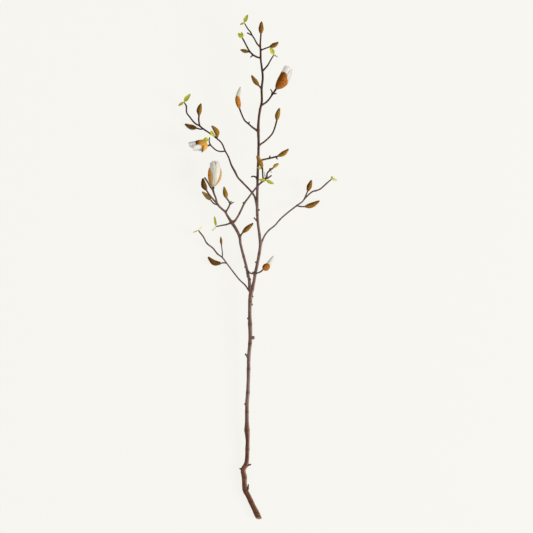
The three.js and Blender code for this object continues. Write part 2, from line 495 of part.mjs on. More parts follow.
function addPiece(name, solid, kind) {
  const [color, roughness] = PAINT[kind];
  const material = new THREE.MeshStandardMaterial({ color, roughness, metalness: 0 });
  const mesh = new THREE.Mesh(geometryOf(solid), material);
  mesh.name = name;
  branch.add(mesh);
}

// The same stems, larger by the seat gap: what grows from a stem is cut back to this.
const clearance = new Map();

for (const [name, parents, routes] of WOOD) {
  const sides = ['main_stem', 'leader'].includes(name) ? STEM_SIDES : SHOOT_SIDES;
  clearance.set(name, stem(routes, sides, SEAT_GAP));
  let solid = stem(routes, sides);
  if (name === 'main_stem') solid = solid.subtract(footTrim());
  for (const parent of parents) solid = solid.subtract(clearance.get(parent));
  addPiece(name, solid, 'wood');
}

CLOSED_BUDS.forEach(([carrier, axis, radius, fullest], k) => {
  const solid = bud(axis, radius, fullest).subtract(clearance.get(carrier));
  addPiece(`closed_bud_${String(k + 1).padStart(2, '0')}`, solid, 'bud');
});

for (const [blossom, carrier, axis, blades] of BLOSSOMS) {
  for (const [part, ...shape] of blades) {
    const kind = part.startsWith('bract') ? 'bract' : 'petal';
    const solid = wrapped(axis, kind, ...shape).subtract(clearance.get(carrier));
    addPiece(`${blossom}_${part}`, solid, kind);
  }
}

for (const [name, carrier, foot, leaves] of LEAF_TUFTS) {
  let solid = leafFoot(foot);
  for (const shape of leaves) solid = solid.add(leaf(foot, ...shape));
  addPiece(name, solid.subtract(clearance.get(carrier)), 'leaf');
}

export default branch;
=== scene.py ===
"""A cut magnolia branch lying down: bark, furry closed buds, opening blossoms and young leaves."""

import bisect
import math
import random
from collections import namedtuple

import bmesh
import bpy
from mathutils import Matrix, Vector, noise


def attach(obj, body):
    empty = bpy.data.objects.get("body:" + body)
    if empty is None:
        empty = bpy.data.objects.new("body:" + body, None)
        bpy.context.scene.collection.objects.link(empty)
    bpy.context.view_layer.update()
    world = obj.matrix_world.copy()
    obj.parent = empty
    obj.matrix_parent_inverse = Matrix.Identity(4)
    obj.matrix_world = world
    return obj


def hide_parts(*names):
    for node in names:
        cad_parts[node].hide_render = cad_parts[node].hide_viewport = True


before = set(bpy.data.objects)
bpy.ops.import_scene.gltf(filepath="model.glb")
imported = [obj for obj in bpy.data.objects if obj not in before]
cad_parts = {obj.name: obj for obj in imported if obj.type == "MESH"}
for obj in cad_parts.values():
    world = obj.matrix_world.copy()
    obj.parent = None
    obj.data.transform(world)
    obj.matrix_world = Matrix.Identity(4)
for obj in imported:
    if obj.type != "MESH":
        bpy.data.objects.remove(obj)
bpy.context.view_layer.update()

MM = 0.001
UP = Vector((0, 0, 1))
KEY_LAMP_SIDE = Vector((0.86, -0.36, 0.1))  # painted light: the side towards the key lamp, which the finishes paint lighter

# ---- Routes of the wood ----
# A route is a list of (x, y, z, radius) in millimetres. The first route of a stem is its axis,
# and the rest are the stalks, spurs and nubs that grew on it.
MAIN_STEM = [
    [
        (4, -649, 6.9, 6.9), (-4, -632, 7, 6.9), (-11, -618, 7.3, 6.7), (-18, -603, 7.8, 6.5),
        (-26, -586, 8.6, 6.5), (-32, -575, 9.4, 6.5), (-34.5, -561, 10.2, 6.5),
        (-35, -540, 11.2, 6.4), (-38, -521, 12, 6.6), (-31, -508, 12.8, 5.8),
        (-28.2, -494, 13.6, 5.4), (-27.2, -468, 15, 5.1), (-26.6, -444, 16, 5.3),
        (-28.2, -419, 17, 6.6), (-28.4, -398, 18, 5.2), (-28.4, -372, 19, 4.7),
        (-28, -345, 20.4, 4.9), (-26, -322, 21.6, 4.7), (-25, -298, 22.8, 4.4),
        (-24, -262, 24.8, 4.6), (-23.6, -230, 26.4, 4.6), (-20.4, -196, 28, 4.8),
        (-19.4, -177, 29, 5), (-20.2, -146, 30.6, 5.3), (-21, -117, 32, 4.6),
        (-20.2, -88, 33.4, 4.8), (-18.4, -70, 34.4, 5.6),
    ],
    [(-32.8, -573, 9.6, 2.5), (-26.4, -570, 13, 2.5), (-24.6, -558, 15, 1.7)],
    [(-37.5, -520, 12, 3.2), (-48, -518, 13, 1.3)],
    [(-32, -511, 12.6, 2.6), (-17.5, -507, 16, 2)],
    [(-28.4, -353, 20, 3), (-35, -351, 22, 2)],
    [(-23.4, -234, 26.2, 3), (-33, -222, 29, 2.2)],
    [(-19.6, -180.6, 28.9, 3.8), (-8.4, -181.4, 31, 4.4)],
    [(-20.6, -134, 31.2, 2.8), (-27.6, -130, 33, 2.2)],
]
LEADER = [
    [
        (-18.4, -70, 34.4, 5.6), (-14.8, -56, 35.2, 4.6), (-10.6, -38, 36.2, 4.1),
        (-7, -16, 37.4, 4), (-2, 7, 38.6, 4), (3.4, 36, 40.2, 3.9), (6, 57, 41.4, 3.9),
        (4, 84, 42.8, 3.5), (0.8, 107, 44, 3.4), (-1.6, 134, 45.6, 3.6), (-2, 158, 47, 3.7),
        (-1.4, 205, 49.4, 3.4), (-0.4, 247, 51.8, 3.3), (1, 282, 53.8, 3.3),
        (1.8, 326, 56, 3.4), (0.8, 352, 57.6, 3.8), (2.2, 382, 59.6, 3.1),
        (5.6, 406, 61.4, 3.2), (9.8, 425, 62.6, 3.1), (9.6, 461, 65, 3),
        (12.4, 487, 66.8, 2.7), (10.8, 507, 68, 2.7), (7.3, 533, 70, 2.5),
        (6.8, 559, 71.6, 2.6), (5.8, 569, 72.4, 2.6), (6.6, 584, 73.8, 2),
        (7.8, 601, 75.2, 2),
    ],
    [(11.4, 504, 67.8, 2.3), (24, 518, 74, 2.1), (33.4, 534, 80.4, 1.8), (40.2, 545, 84.6, 1.7)],
    [(9.6, 459, 65, 2.1), (6, 463, 69, 2), (1.6, 468, 73, 2.1)],
    [(6.8, 558, 71.5, 2.1), (18.8, 562.6, 76, 1.8), (27, 565.6, 79, 1.8), (31.6, 567.4, 80.6, 2.2)],
    [(-1, 11, 38.8, 2.3), (-7.4, 14, 40.4, 1.8)],
    [(-0.6, 118, 44.7, 2.3), (-11, 128, 47, 1.6)],
    [(-1.8, 146, 46.3, 2.3), (4.6, 148.4, 47.6, 1.8)],
    [
        (-1, 223, 50.4, 2.2), (-4.4, 231, 53, 2.2), (-10.6, 234, 54.4, 2.1),
        (-18, 232.4, 54.6, 1.8),
    ],
]
LEFT_LIMB = [
    [
        (-17.6, -66, 34.6, 4.4), (-21, -50, 35.4, 4.3), (-22.2, -33, 35, 3.7),
        (-26, -16.5, 34, 3.6), (-30.2, 3, 32.6, 3.6), (-36.7, 28, 30.6, 3.5), (-45, 61, 28.6, 3.4),
        (-47, 78, 28, 3.5), (-56.5, 98.5, 28, 3.9), (-68, 116, 29, 4.3), (-80, 135, 30.4, 2.9),
        (-83.4, 142, 31, 3), (-93, 150.5, 32, 2.6), (-103, 161, 33.4, 2.8),
        (-108.8, 179, 35.4, 2.4), (-115, 196, 38, 2.5), (-116.2, 207.6, 39.6, 2.9),
    ],
    [
        (-103.4, 161.6, 33.4, 2.3), (-110, 169, 36.4, 2.3), (-125.4, 187, 39.6, 2.3),
        (-132.6, 198.2, 40.4, 2.3),
    ],
    [(-103.4, 161.6, 33.4, 1.9), (-112.6, 163.6, 28, 1.7), (-121.6, 173, 20.6, 2)],
    [
        (-115.4, 198, 38.4, 2.6), (-121.8, 206.4, 44, 2.4), (-130, 220.6, 49, 2.3),
        (-137.6, 231.4, 51, 2.2),
    ],
    [(-115.6, 201, 38.8, 2), (-112.6, 206.4, 42.4, 1.4)],
    [(-83.2, 141.6, 31, 2.3), (-76, 153.6, 36, 2.2), (-72.4, 164, 41, 2.3), (-81.2, 178.6, 47, 2.2)],
    [(-72.8, 163, 40.6, 1.8), (-68, 170.6, 45, 1.3)],
    [(-73.4, 161.4, 40, 1.8), (-61.8, 168, 43, 1.4)],
    [(-47, 77.8, 28, 2.3), (-43, 84, 31, 2.1), (-39, 89.4, 33.6, 2.3)],
    [(-67, 115.4, 29, 2.3), (-81, 110, 26, 2.1), (-90, 108.4, 23, 2), (-106.4, 105, 18.6, 1.7)],
    [(-22.4, -36, 35, 2.3), (-18.6, -29, 38.6, 1.7)],
]
LOWER_LEFT_SHOOT = [
    [
        (-18.2, -65, 34, 2.5), (-25.4, -56.4, 32, 2.3), (-33.4, -45.4, 29.4, 2),
        (-48, -31.6, 25, 1.8), (-60, -16.5, 21.4, 1.8), (-81, 11, 15.4, 1.8), (-92, 25.4, 14, 1.8),
        (-104, 34.4, 14.4, 2), (-115.6, 49, 15.4, 2.1), (-131.4, 62, 17.2, 2),
        (-140.2, 78, 19.4, 2), (-148.4, 88.8, 21, 1.8), (-153.2, 95, 22, 1.5),
    ],
    [(-81, 11, 15.4, 2), (-88, 11.6, 10.4, 1.7), (-96, 10.2, 7.4, 1.8)],
    [(-92, 25.4, 14, 1.7), (-91.4, 34, 18, 1.5), (-93.8, 57.6, 26, 1.4)],
]
RIGHT_SHOOT = [
    [
        (5.8, 53, 41.2, 2.7), (11.8, 70, 39.4, 2.3), (19, 84.4, 36.4, 2.1), (29.4, 96.6, 33, 2),
        (42.8, 107, 29.4, 2), (56.8, 123, 25.4, 2), (75, 139.4, 20.6, 2),
        (100, 158.8, 15.6, 2), (114, 168.8, 15, 1.9), (119.6, 176, 15.6, 1.9), (140.6, 195, 18, 2),
        (148.8, 197, 18.8, 2.1), (160, 201.4, 20.2, 2), (176.8, 216, 23, 1.9), (189, 226.6, 25, 1.6),
    ],
    [(100, 158.8, 15.6, 2), (108, 156.6, 11, 1.8), (121.8, 156, 7.6, 2)],
    [(119.6, 176, 15.6, 1.9), (123.6, 186, 20, 1.7), (128.4, 196.6, 25, 1.9)],
]
CROSSING_SHOOT = [
    [
        (-67, 115.6, 29, 2.9), (-60, 119, 32.6, 2.8), (-53.4, 128, 38, 2.6), (-47.6, 138.4, 43, 2.5),
        (-41.4, 151, 48, 2.6), (-35.2, 164.4, 52.4, 2.5), (-25, 178.4, 56, 2.4),
        (-14.8, 192, 58.6, 2.4), (-3.6, 205.6, 60.2, 2.4), (8.6, 218.4, 61.4, 2.5),
        (18.4, 224.4, 62.4, 2.9),
    ],
    [(17.6, 224.2, 62.2, 2.3), (13.4, 230, 65, 2.1), (12, 246, 68, 2.1), (11.2, 257.4, 70, 2.3)],
    [
        (17.6, 224.2, 62.2, 2.3), (22.4, 232, 66, 2.3), (24, 242, 69, 2.2), (32, 250.4, 72, 2.3),
        (39, 255.8, 74, 2.1),
    ],
    [(20.4, 228, 64, 2.2), (26, 230, 66, 2.1), (35.4, 236.4, 68, 2)],
    [(31.4, 250, 72, 2), (31, 255, 75.4, 1.4)],
    [(-35.4, 163, 52, 2.1), (-38.6, 167.6, 54, 1.6)],
]
UPPER_LEFT_SHOOT = [
    [
        (-2, 155, 46.8, 3), (-5, 169, 46.6, 2.8), (-9.6, 183.4, 46, 2.6), (-16.4, 193.6, 45.6, 2.5),
        (-27.4, 205.6, 45, 2.5), (-40, 218.6, 44, 2.4), (-52, 231.6, 42.6, 2.4),
        (-58.6, 245, 41, 2.8), (-68, 262, 38.6, 2.4), (-75.8, 283.6, 35, 2), (-84.6, 300, 32.6, 2),
        (-93.4, 319.6, 29.4, 1.9), (-105.4, 331, 26.4, 1.9), (-123.4, 344.6, 21, 1.9),
        (-141.4, 356.6, 16.6, 2.2), (-150, 363.6, 15.6, 2.2), (-162.4, 371, 16, 2.1),
        (-174.8, 386, 19, 1.9), (-183.4, 398, 22, 2), (-184.4, 415, 26, 2),
        (-189.6, 424, 28.6, 1.6),
    ],
    [(-150, 363.6, 15.6, 2.2), (-152.4, 379, 19.6, 2.1), (-151.6, 392, 23.4, 2.3)],
    [(-141.4, 356.6, 16.6, 2.1), (-148, 355.4, 12, 1.8), (-158.6, 358.6, 8, 2.2)],
    [(-105.4, 331, 26.4, 2.2), (-105.6, 335, 31.6, 2.3)],
    [(-57.8, 243, 41.2, 2.6), (-62, 250, 45, 1.9)],
]
LOOP_SHOOT = [
    [
        (-84, 298.8, 32.7, 1.9), (-96.4, 298, 34.4, 1.8), (-106.4, 300.6, 36.6, 1.8),
        (-114.6, 307, 39.4, 1.7), (-122, 315, 42.6, 1.8), (-125, 322, 45, 1.7),
        (-124.4, 334.4, 48, 1.5),
    ],
    [(-122, 315, 42.6, 2.2), (-129, 312.6, 44.6, 2.5)],
]
TOP_SHOOT = [
    [
        (6, 566, 72.2, 2.1), (-2.4, 575, 76, 2), (-9.6, 588, 80, 1.9), (-15.4, 597, 83, 1.9),
        (-19, 604.4, 85.4, 1.9), (-26, 613, 88, 1.6), (-34.6, 627, 91, 1.5),
    ],
    [(-14.8, 596, 83, 1.8), (-28.4, 603, 85, 1.7)],
]
TOP_LEFT_SHOOT = [
    [
        (7.2, 538, 70.4, 2.4), (-3.6, 541, 68, 2.3), (-13.2, 546.6, 65, 2.3), (-21.6, 555.6, 62, 2.3),
        (-29.4, 569.4, 60.4, 2), (-36.4, 583, 60.6, 2), (-41.2, 591, 61.4, 1.8),
    ],
    [(-12.6, 546, 65.2, 1.7), (-20, 539.4, 64, 1.3)],
    [(-20.6, 554.4, 62.4, 2), (-24.6, 554.2, 59, 2.1)],
]
UPPER_RIGHT_STALK = [
    [(8, 416, 62, 2.4), (22.8, 425.6, 69, 2.3), (36, 442.4, 80, 2.3), (47, 459, 91.6, 2.8)],
    [(35, 441, 79.2, 2.1), (36, 452, 85, 1.6), (31.6, 458, 87, 1.3)],
    [(38.6, 446.4, 83, 2), (48.6, 446.4, 83.6, 1.4)],
]
UPPER_LEFT_STALK = [
    [
        (0.8, 350, 57.4, 2.8), (-14, 360, 53.6, 2.3), (-24.4, 369, 50.4, 2.2),
        (-34, 377.6, 47.6, 2), (-42, 394, 44, 2), (-47.8, 409.6, 42, 2.3),
    ],
    [(-24.4, 369, 50.4, 2.1), (-21.6, 374.4, 54, 1.4)],
]
LOW_BUD_STALK = [[
    (1.8, 313, 55.4, 2.3), (20, 326, 51, 2.1), (37, 344, 45.6, 2.1), (43.6, 360, 42, 2),
    (48.6, 378.4, 39.6, 2.3),
]]
LEVEL_BUD_STALK = [
    [(0.8, 274, 53.4, 2.4), (14.6, 277, 57.4, 2.2), (33, 281, 63.4, 2.3), (52.4, 285.8, 69.6, 2.3)],
    [(29.6, 280.2, 62.2, 2), (31.2, 287.6, 64.6, 1.6)],
    [(46, 284.2, 67.6, 2), (50.6, 277.4, 68.4, 1.4)],
]
LOWER_STALK = [
    [
        (-29, -3, 33, 2.2), (-23.6, -12, 39, 2.1), (-14, -16.6, 44.6, 1.9), (-2.4, -15, 47, 1.9),
        (7.4, -11, 47.6, 2.1), (13.6, -5.4, 47.4, 2.4),
    ],
    [(-13.6, -16.6, 44.8, 2.1), (-12, -11, 48.2, 1.6)],
]
WOOD = {
    "main_stem": MAIN_STEM,
    "leader": LEADER,
    "left_limb": LEFT_LIMB,
    "lower_left_shoot": LOWER_LEFT_SHOOT,
    "right_shoot": RIGHT_SHOOT,
    "crossing_shoot": CROSSING_SHOOT,
    "upper_left_shoot": UPPER_LEFT_SHOOT,
    "loop_shoot": LOOP_SHOOT,
    "top_shoot": TOP_SHOOT,
    "top_left_shoot": TOP_LEFT_SHOOT,
    "upper_right_stalk": UPPER_RIGHT_STALK,
    "upper_left_stalk": UPPER_LEFT_STALK,
    "low_bud_stalk": LOW_BUD_STALK,
    "level_bud_stalk": LEVEL_BUD_STALK,
    "lower_stalk": LOWER_STALK,
}
# Dormant side buds that stand out of the bark: (x, y, z, radius).
BARK_BUMPS = {
    "main_stem": [(-13.6, -75.1, 35, 2.2), (-15, -95.7, 34, 2.2)],
    "left_limb": [(-33.6, 0.8, 33.4, 1.9), (-27.8, -22.9, 35, 1.9)],
    "crossing_shoot": [(-34.4, 167.6, 53.6, 1.6)],
}

# ---- Closed buds, from the top of the branch down ----
# (axis from foot to tip, largest radius, the share of the axis where that is, fur)
CLOSED_BUDS = [
    ([(7.8, 601, 75.2), (8.4, 617, 77.4), (9.4, 632, 79)], 6.7, 0.4, "olive"),
    ([(31.6, 567.4, 80.6), (41, 570, 83.6), (52.6, 578.4, 86)], 6.2, 0.4, "olive"),
    ([(-24.6, 554.2, 59), (-35, 556.4, 55), (-45.2, 559.6, 52)], 4.9, 0.42, "tawny"),
    ([(1.6, 468, 73), (-7.6, 479.6, 77), (-16.8, 494, 79.6)], 6, 0.38, "olive"),
    ([(48.6, 378.4, 39.6), (51, 394, 37.4), (55.8, 409.6, 36.4)], 6.4, 0.4, "tawny"),
    ([(52.4, 285.8, 69.6), (67, 293, 73), (79.2, 304.4, 74.6)], 6.2, 0.4, "tawny"),
    ([(11.2, 257.4, 70), (5.4, 271.6, 72.4), (-3.2, 287.4, 74)], 6.5, 0.42, "tawny"),
    ([(39, 255.8, 74), (46.4, 262, 76.4), (53.8, 266.4, 77.8)], 4.4, 0.5, "pale"),
    ([(-151.6, 392, 23.4), (-150.6, 407, 26.6), (-146.2, 421.6, 28.6)], 6.9, 0.38, "olive"),
    ([(-158.6, 358.6, 8), (-173.6, 361.4, 6.7), (-188.2, 369, 8)], 6.8, 0.36, "umber"),
    ([(-105.6, 335, 31.6), (-105.6, 348, 36.6), (-119, 364.4, 39.6)], 6.8, 0.45, "tawny"),
    ([(-132.6, 198.2, 40.4), (-139.6, 212.6, 41), (-141.4, 229.4, 40)], 7, 0.4, "umber"),
    ([(-121.6, 174.4, 20.6), (-132, 184, 16), (-144, 194.6, 13)], 6.2, 0.3, "pale"),
    ([(-81.2, 178.6, 47), (-84.4, 192.6, 50.6), (-87.2, 207.4, 53)], 6.2, 0.32, "tawny"),
    ([(-39, 89.4, 33.6), (-26, 101, 35.4), (-12, 113.6, 35)], 6.4, 0.36, "olive"),
    ([(-93.8, 57.6, 26), (-94.6, 67, 29.6), (-95.4, 79, 33)], 3.2, 0.42, "olive"),
    ([(-96, 10.2, 7.6), (-113, 12.2, 7.4), (-128.6, 27, 8)], 7.2, 0.4, "umber"),
    ([(128.4, 196.6, 25), (133.4, 210.6, 29), (138, 224.6, 31)], 6.6, 0.38, "olive"),
    ([(121.8, 156, 7.6), (139, 159.8, 6.9), (158.8, 171.2, 8)], 6.8, 0.38, "olive"),
]

# ---- Blossoms ----
# A blossom is (axis from foot to tip, share of the axis where it is fullest, blades). A blade is
# (name, bearing, half arc, radius, start, end, lift, point). It wraps round the blossom's axis at
# that radius. The bearing, in degrees, is 0 on top and 90 on the right, looking from the stalk to
# the tip. Start and end are shares of the axis, and lift opens the blade's tip. A higher point,
# which may be left out, draws the tip out less. A blade whose name starts with "further" has no
# node of its own.
BLOSSOMS = {
    "upper_right_blossom": ([(47, 459, 91.6), (66.4, 482, 98.6), (79, 518.6, 105)], 0.42, [
        ("bract_left", -46, 120, 15, 0, 0.76, 0.02, 2.6),
        ("bract_right", 104, 54, 14.2, 0, 0.56, -0.12),
        ("petal_left", -62, 66, 10.4, 0, 0.95, 0.3, 4),
        ("petal_right", 56, 64, 13.4, 0, 0.92, 0.45, 2.6),
        ("further_petal_back", 176, 62, 10.6, 0.02, 0.95, 0.2),
        ("further_petal_front", -22, 92, 12.6, 0.01, 1, 0.5, 3),
    ]),
    "upper_left_blossom": ([(-47.8, 409.6, 42), (-52, 436, 46), (-44.4, 465, 50)], 0.3, [
        ("bract", -8, 140, 6.6, 0, 0.56, -0.1),
        ("petal", 0, 150, 6, 0, 1, -0.12),
    ]),
    "large_blossom": ([(-116.2, 207.6, 39.6), (-110.6, 240, 44), (-111.8, 275, 47)], 0.46, [
        ("bract_left", -85, 62, 18.8, 0, 0.73, -0.1, 3),
        ("bract_right", 100, 46, 17.4, 0, 0.68, -0.04),
        ("petal_left", -84, 60, 14.2, 0, 0.94, 0.24, 4),
        ("petal_right", 56, 60, 15.2, 0, 0.99, 0.2, 4),
        ("petal_back", 180, 56, 14.4, 0, 0.98, 0.1),
        ("further_petal_front", -34, 60, 14.6, 0.01, 1, 0.15, 4),
        ("further_petal_left", -132, 54, 11.6, 0.02, 0.92, 0),
        ("further_petal_right", 124, 54, 11.6, 0.02, 0.9, 0),
    ]),
    "split_blossom": ([(-129, 312.6, 44.6), (-152, 314, 46.6), (-179.6, 314.6, 46)], 0.3, [
        ("bract_upper", 46, 84, 14.6, 0, 0.64, -0.2),
        ("bract_lower", -66, 74, 15.8, 0, 0.31, 0.2),
        ("petal_upper", 46, 66, 12, 0, 1, 0.1),
        ("petal_lower", -54, 64, 14, 0, 0.76, 0.36),
        ("further_petal_top", -12, 62, 11, 0.02, 0.96, 0.12),
        ("further_petal_back", 168, 62, 10.6, 0.02, 0.95, 0.08),
    ]),
    "lower_blossom": ([(13.6, -5.4, 47.4), (25.4, 4.6, 35), (40, 28.6, 20)], 0.24, [
        ("bract", 0, 150, 9.2, 0, 0.4, -0.3),
        ("petal", 0, 148, 7.2, 0, 1, -0.16),
    ]),
}
FOOT_RADIUS = {"bract": 2.6, "petal": 1.2}
TIP_POINT = {"bract": 4.6, "petal": 6, "wrapped": 2}
# The furled petals at the middle of a blossom: its radius and how far along the axis it ends.
HEARTS = {
    "upper_right_blossom": (7.6, 0.84),
    "upper_left_blossom": (3.6, 0.9),
    "large_blossom": (9.4, 0.86),
    "split_blossom": (8.2, 0.8),
    "lower_blossom": (4.8, 0.9),
}

# What covers the bracts and the petals of a blossom, and the blades that differ from them.
BLADE_FINISHES = {
    "upper_right_blossom_bract": "rusty", "upper_right_blossom_petal": "white",
    "upper_right_blossom_petal_right": "pearl",
    "upper_left_blossom_bract": "honey", "upper_left_blossom_petal": "ivory",
    # Painted light: the large blossom's left bract is painted brighter for light the key lamp hardly
    # gives it.
    "large_blossom_bract_left": "amber", "large_blossom_bract_right": "straw",
    "large_blossom_petal": "cream",
    "split_blossom_bract": "golden", "split_blossom_petal": "white",
    "lower_blossom_bract": "rusty", "lower_blossom_petal": "cream",
}

# ---- Young leaves ----
# One tuft for each leaf bud: (foot, [(tip, width, roll about its length in degrees, finish)]).
LEAF_TUFTS = {
    "top_leaves": ((-35.6, 628.6, 91.6), [
        ((-26, 649.6, 97), 11, 10, "spring"), ((-46.4, 623.4, 93), 6, -10, "olive"),
    ]),
    "top_left_leaf": ((-40.6, 590, 61.8), [
        ((-51.4, 602.6, 66), 11, 10, "spring"), ((-42.4, 605, 67), 9.4, -15, "spring"),
    ]),
    "leaf_shoot_leaves": ((41, 546.4, 85.4), [
        ((31.4, 565.4, 89), 12.4, -10, "spring"), ((51.4, 539.4, 87), 4, 10, "olive"),
    ]),
    "upper_left_leaves": ((-190.6, 425.2, 29.2), [
        ((-173.4, 446.4, 36), 12, 10, "spring"), ((-205, 415.6, 28), 8, -10, "olive"),
    ]),
    "bright_leaf": ((-113, 336.4, 30), [((-121, 352, 40), 12.5, 35, "bright")]),
    "loop_leaf": ((-126.8, 328.4, 48), [((-141, 328.4, 50), 13, -10, "spring")]),
    "cluster_leaves": ((20.6, 223.4, 66), [
        ((41, 214.4, 62), 10, 10, "lime"), ((2, 225.6, 70), 8.5, -10, "lime"),
    ]),
    "right_leaves": ((190, 227.8, 25.4), [
        ((190.4, 235, 29), 6.4, 20, "spring"), ((204.6, 223.6, 27), 9, 10, "pale"),
    ]),
    "side_leaves": ((-107.6, 104.8, 18.4), [
        ((-112, 132, 24), 7.4, 20, "spring"), ((-119.4, 93, 19), 5, -10, "pale"),
    ]),
}
# Leaves too small for a node of their own: (foot, tip, width, roll, finish).
SMALL_LEAVES = {
    "bud_stalk_leaf": ((11.8, 253.4, 69.4), (-3.5, 256.4, 70.8), 6, -10, "lime"),
    "cluster_spike": ((18.4, 227, 65), (17.4, 246.4, 70), 2.6, 30, "olive"),
    "twig_leaf": ((31.6, 250.6, 72.4), (35.6, 242.4, 73.4), 2.8, 15, "spring"),
    "lower_left_leaf": ((-153.4, 95.2, 22.2), (-168, 89.4, 24), 3.2, 10, "olive"),
    "lower_left_pale_leaf": ((-152.8, 95.4, 22.4), (-142.6, 108.6, 27), 3, -15, "pale"),
}

# ---- Colours, with channels from 0 to 255 ----
# From the foot of the branch to its top: (share of the way, light streaks, dark streaks)
BARK = (
    (0.0, (133, 82, 65), (72, 36, 28)), (0.18, (135, 87, 74), (76, 40, 31)),
    (0.24, (162, 134, 130), (92, 68, 66)), (0.62, (154, 126, 122), (82, 60, 58)),
    (0.74, (88, 59, 52), (40, 21, 18)), (1.0, (78, 46, 39), (29, 13, 11)),
)
# (skin, its dark streaks, root of a hair, tip of a hair, a factor of painted shade for the side
# away from the key lamp, and on some the tip of the whole shape)
FURS = {
    "olive_fur": ((164, 112, 26), (94, 58, 8), (216, 162, 60), (255, 226, 140), (160, 140, 116)),
    "umber_fur": ((134, 84, 17), (72, 41, 6), (180, 127, 40), (236, 194, 104), (150, 128, 104)),
    "tawny_fur": ((184, 134, 42), (120, 78, 16), (226, 176, 76), (255, 232, 150), (186, 170, 140)),
    "pale_fur": ((222, 182, 98), (192, 146, 68), (234, 194, 108), (255, 236, 176), (205, 196, 180)),
    "rusty_bract": ((210, 131, 54), (148, 78, 28), (206, 128, 44), (240, 184, 90), (184, 160, 142)),
    "honey_bract": ((232, 158, 66), (180, 100, 34), (236, 162, 62), (255, 214, 128), (205, 190, 176)),
    "golden_bract": (
        (255, 200, 96), (220, 146, 48), (250, 186, 80), (255, 234, 160), (225, 210, 190), (104, 54, 20),
    ),
    # Painted light: a copy of the honey bract made brighter, with little painted shade, for a bract the
    # key lamp hardly reaches.
    "amber_bract": ((255, 190, 86), (210, 126, 44), (252, 180, 76), (255, 224, 140), (240, 230, 214)),
    "straw_bract": ((246, 196, 112), (214, 144, 62), (244, 186, 92), (255, 232, 168), (232, 222, 206)),
}
# (tip, foot, shade)
PETALS = {
    "white_petal": ((249, 248, 244), (240, 234, 214), (228, 224, 212)),
    "pearl_petal": ((218, 214, 209), (208, 202, 186), (202, 196, 188)),
    "ivory_petal": ((214, 209, 190), (204, 194, 160), (196, 190, 166)),
    "cream_petal": ((233, 231, 219), (220, 211, 178), (212, 206, 184)),
}
# (light, dark, veins)
LEAVES = {
    "lime_leaf": ((196, 196, 46), (150, 152, 16), (214, 214, 110)),
    "spring_leaf": ((208, 208, 50), (160, 162, 18), (226, 222, 116)),
    "olive_leaf": ((194, 190, 48), (146, 142, 16), (214, 206, 110)),
    "bright_leaf": ((240, 244, 70), (216, 222, 40), (244, 246, 140)),
    "pale_leaf": ((252, 246, 178), (230, 226, 138), (244, 242, 196)),
}
BACKDROP = (247, 246, 241)
FLOOR_COLOUR = (0.07, 0.07, 0.0685, 1)  # linear

# ---- Sizes of what grows on the shapes ----
WELD = 2e-6
STEM_SIDES = 20
SHOOT_SIDES = 12
NUB_SIDES = 10
RING_STEP = 3.2 * MM
SCAR_RINGS = (-1.5, -0.8, -0.35, -0.12, 0, 0.12, 0.35, 0.8, 1.5)  # in radii from a bud scar
SCAR_WIDTH = 0.22  # in radii
TIP_RINGS = (0.6, 0.4, 0.24, 0.12, 0.04)  # in radii from a rod's rounded tip
ROOT_REACH = 0.9  # a rod's rounded root, in radii of the wood that it grows out of
ROOT_RINGS = (0.06, 0.16, 0.32, 0.52, 0.76)  # shares of the root
CUT_TILT = math.radians(22)
CUT_DEPTH = 0.15 * MM
BARK_THICKNESS = 0.7 * MM
BUD_SIDES = 24
BUD_RINGS = 26
HEART_SIDES = 28
HEART_RINGS = 30
BLADE_COLUMNS = 24
WIDE_BLADE_COLUMNS = 36
BRACT_ROWS = 26
PETAL_ROWS = 34
LEAF_COLUMNS = 12
LEAF_ROWS = 20
PETAL_WALL = 0.7 * MM
BRACT_WALL = 1.0 * MM
LEAF_WALL = 0.5 * MM
LEAF_FOOT = 1.5  # radius in millimetres
HAIR_WIDTH = 0.17 * MM
BUD_HAIR = 2.5 * MM
BRACT_HAIR = 1.6 * MM
HAIRS_PER_BUD = 2600  # on a bud 6.4 mm in radius
HAIRS_PER_BRACT = 1400  # on a half arc in degrees times a radius in millimetres of 700
HAIR_LOT = 80

# ---- Studio ----
FRAME_WIDTH = 1.371
FRAME_MIDDLE = Vector((22.0, 2.06, 40)) * MM
LENS = 1500.0
SENSOR = 36.0
SKY_STRENGTH = 0.44
# How bright the floor glows for the other shapes and for the camera, which sees hardly a shadow.
FLOOR_GLOW = (0.36, 0.925)
# name: (place, size, power)
LAMPS = {
    "key": ((6.1, -1.4, 3.8), 3.0, 430.0),
    "fill": ((-6.6, 0.4, 3.1), 3.5, 62.0),
    "top": ((0.0, 0.5, 6.0), 4.0, 36.0),
}


# ---- Smooth lines ----
Stop = namedtuple("Stop", "spot along right up radius")


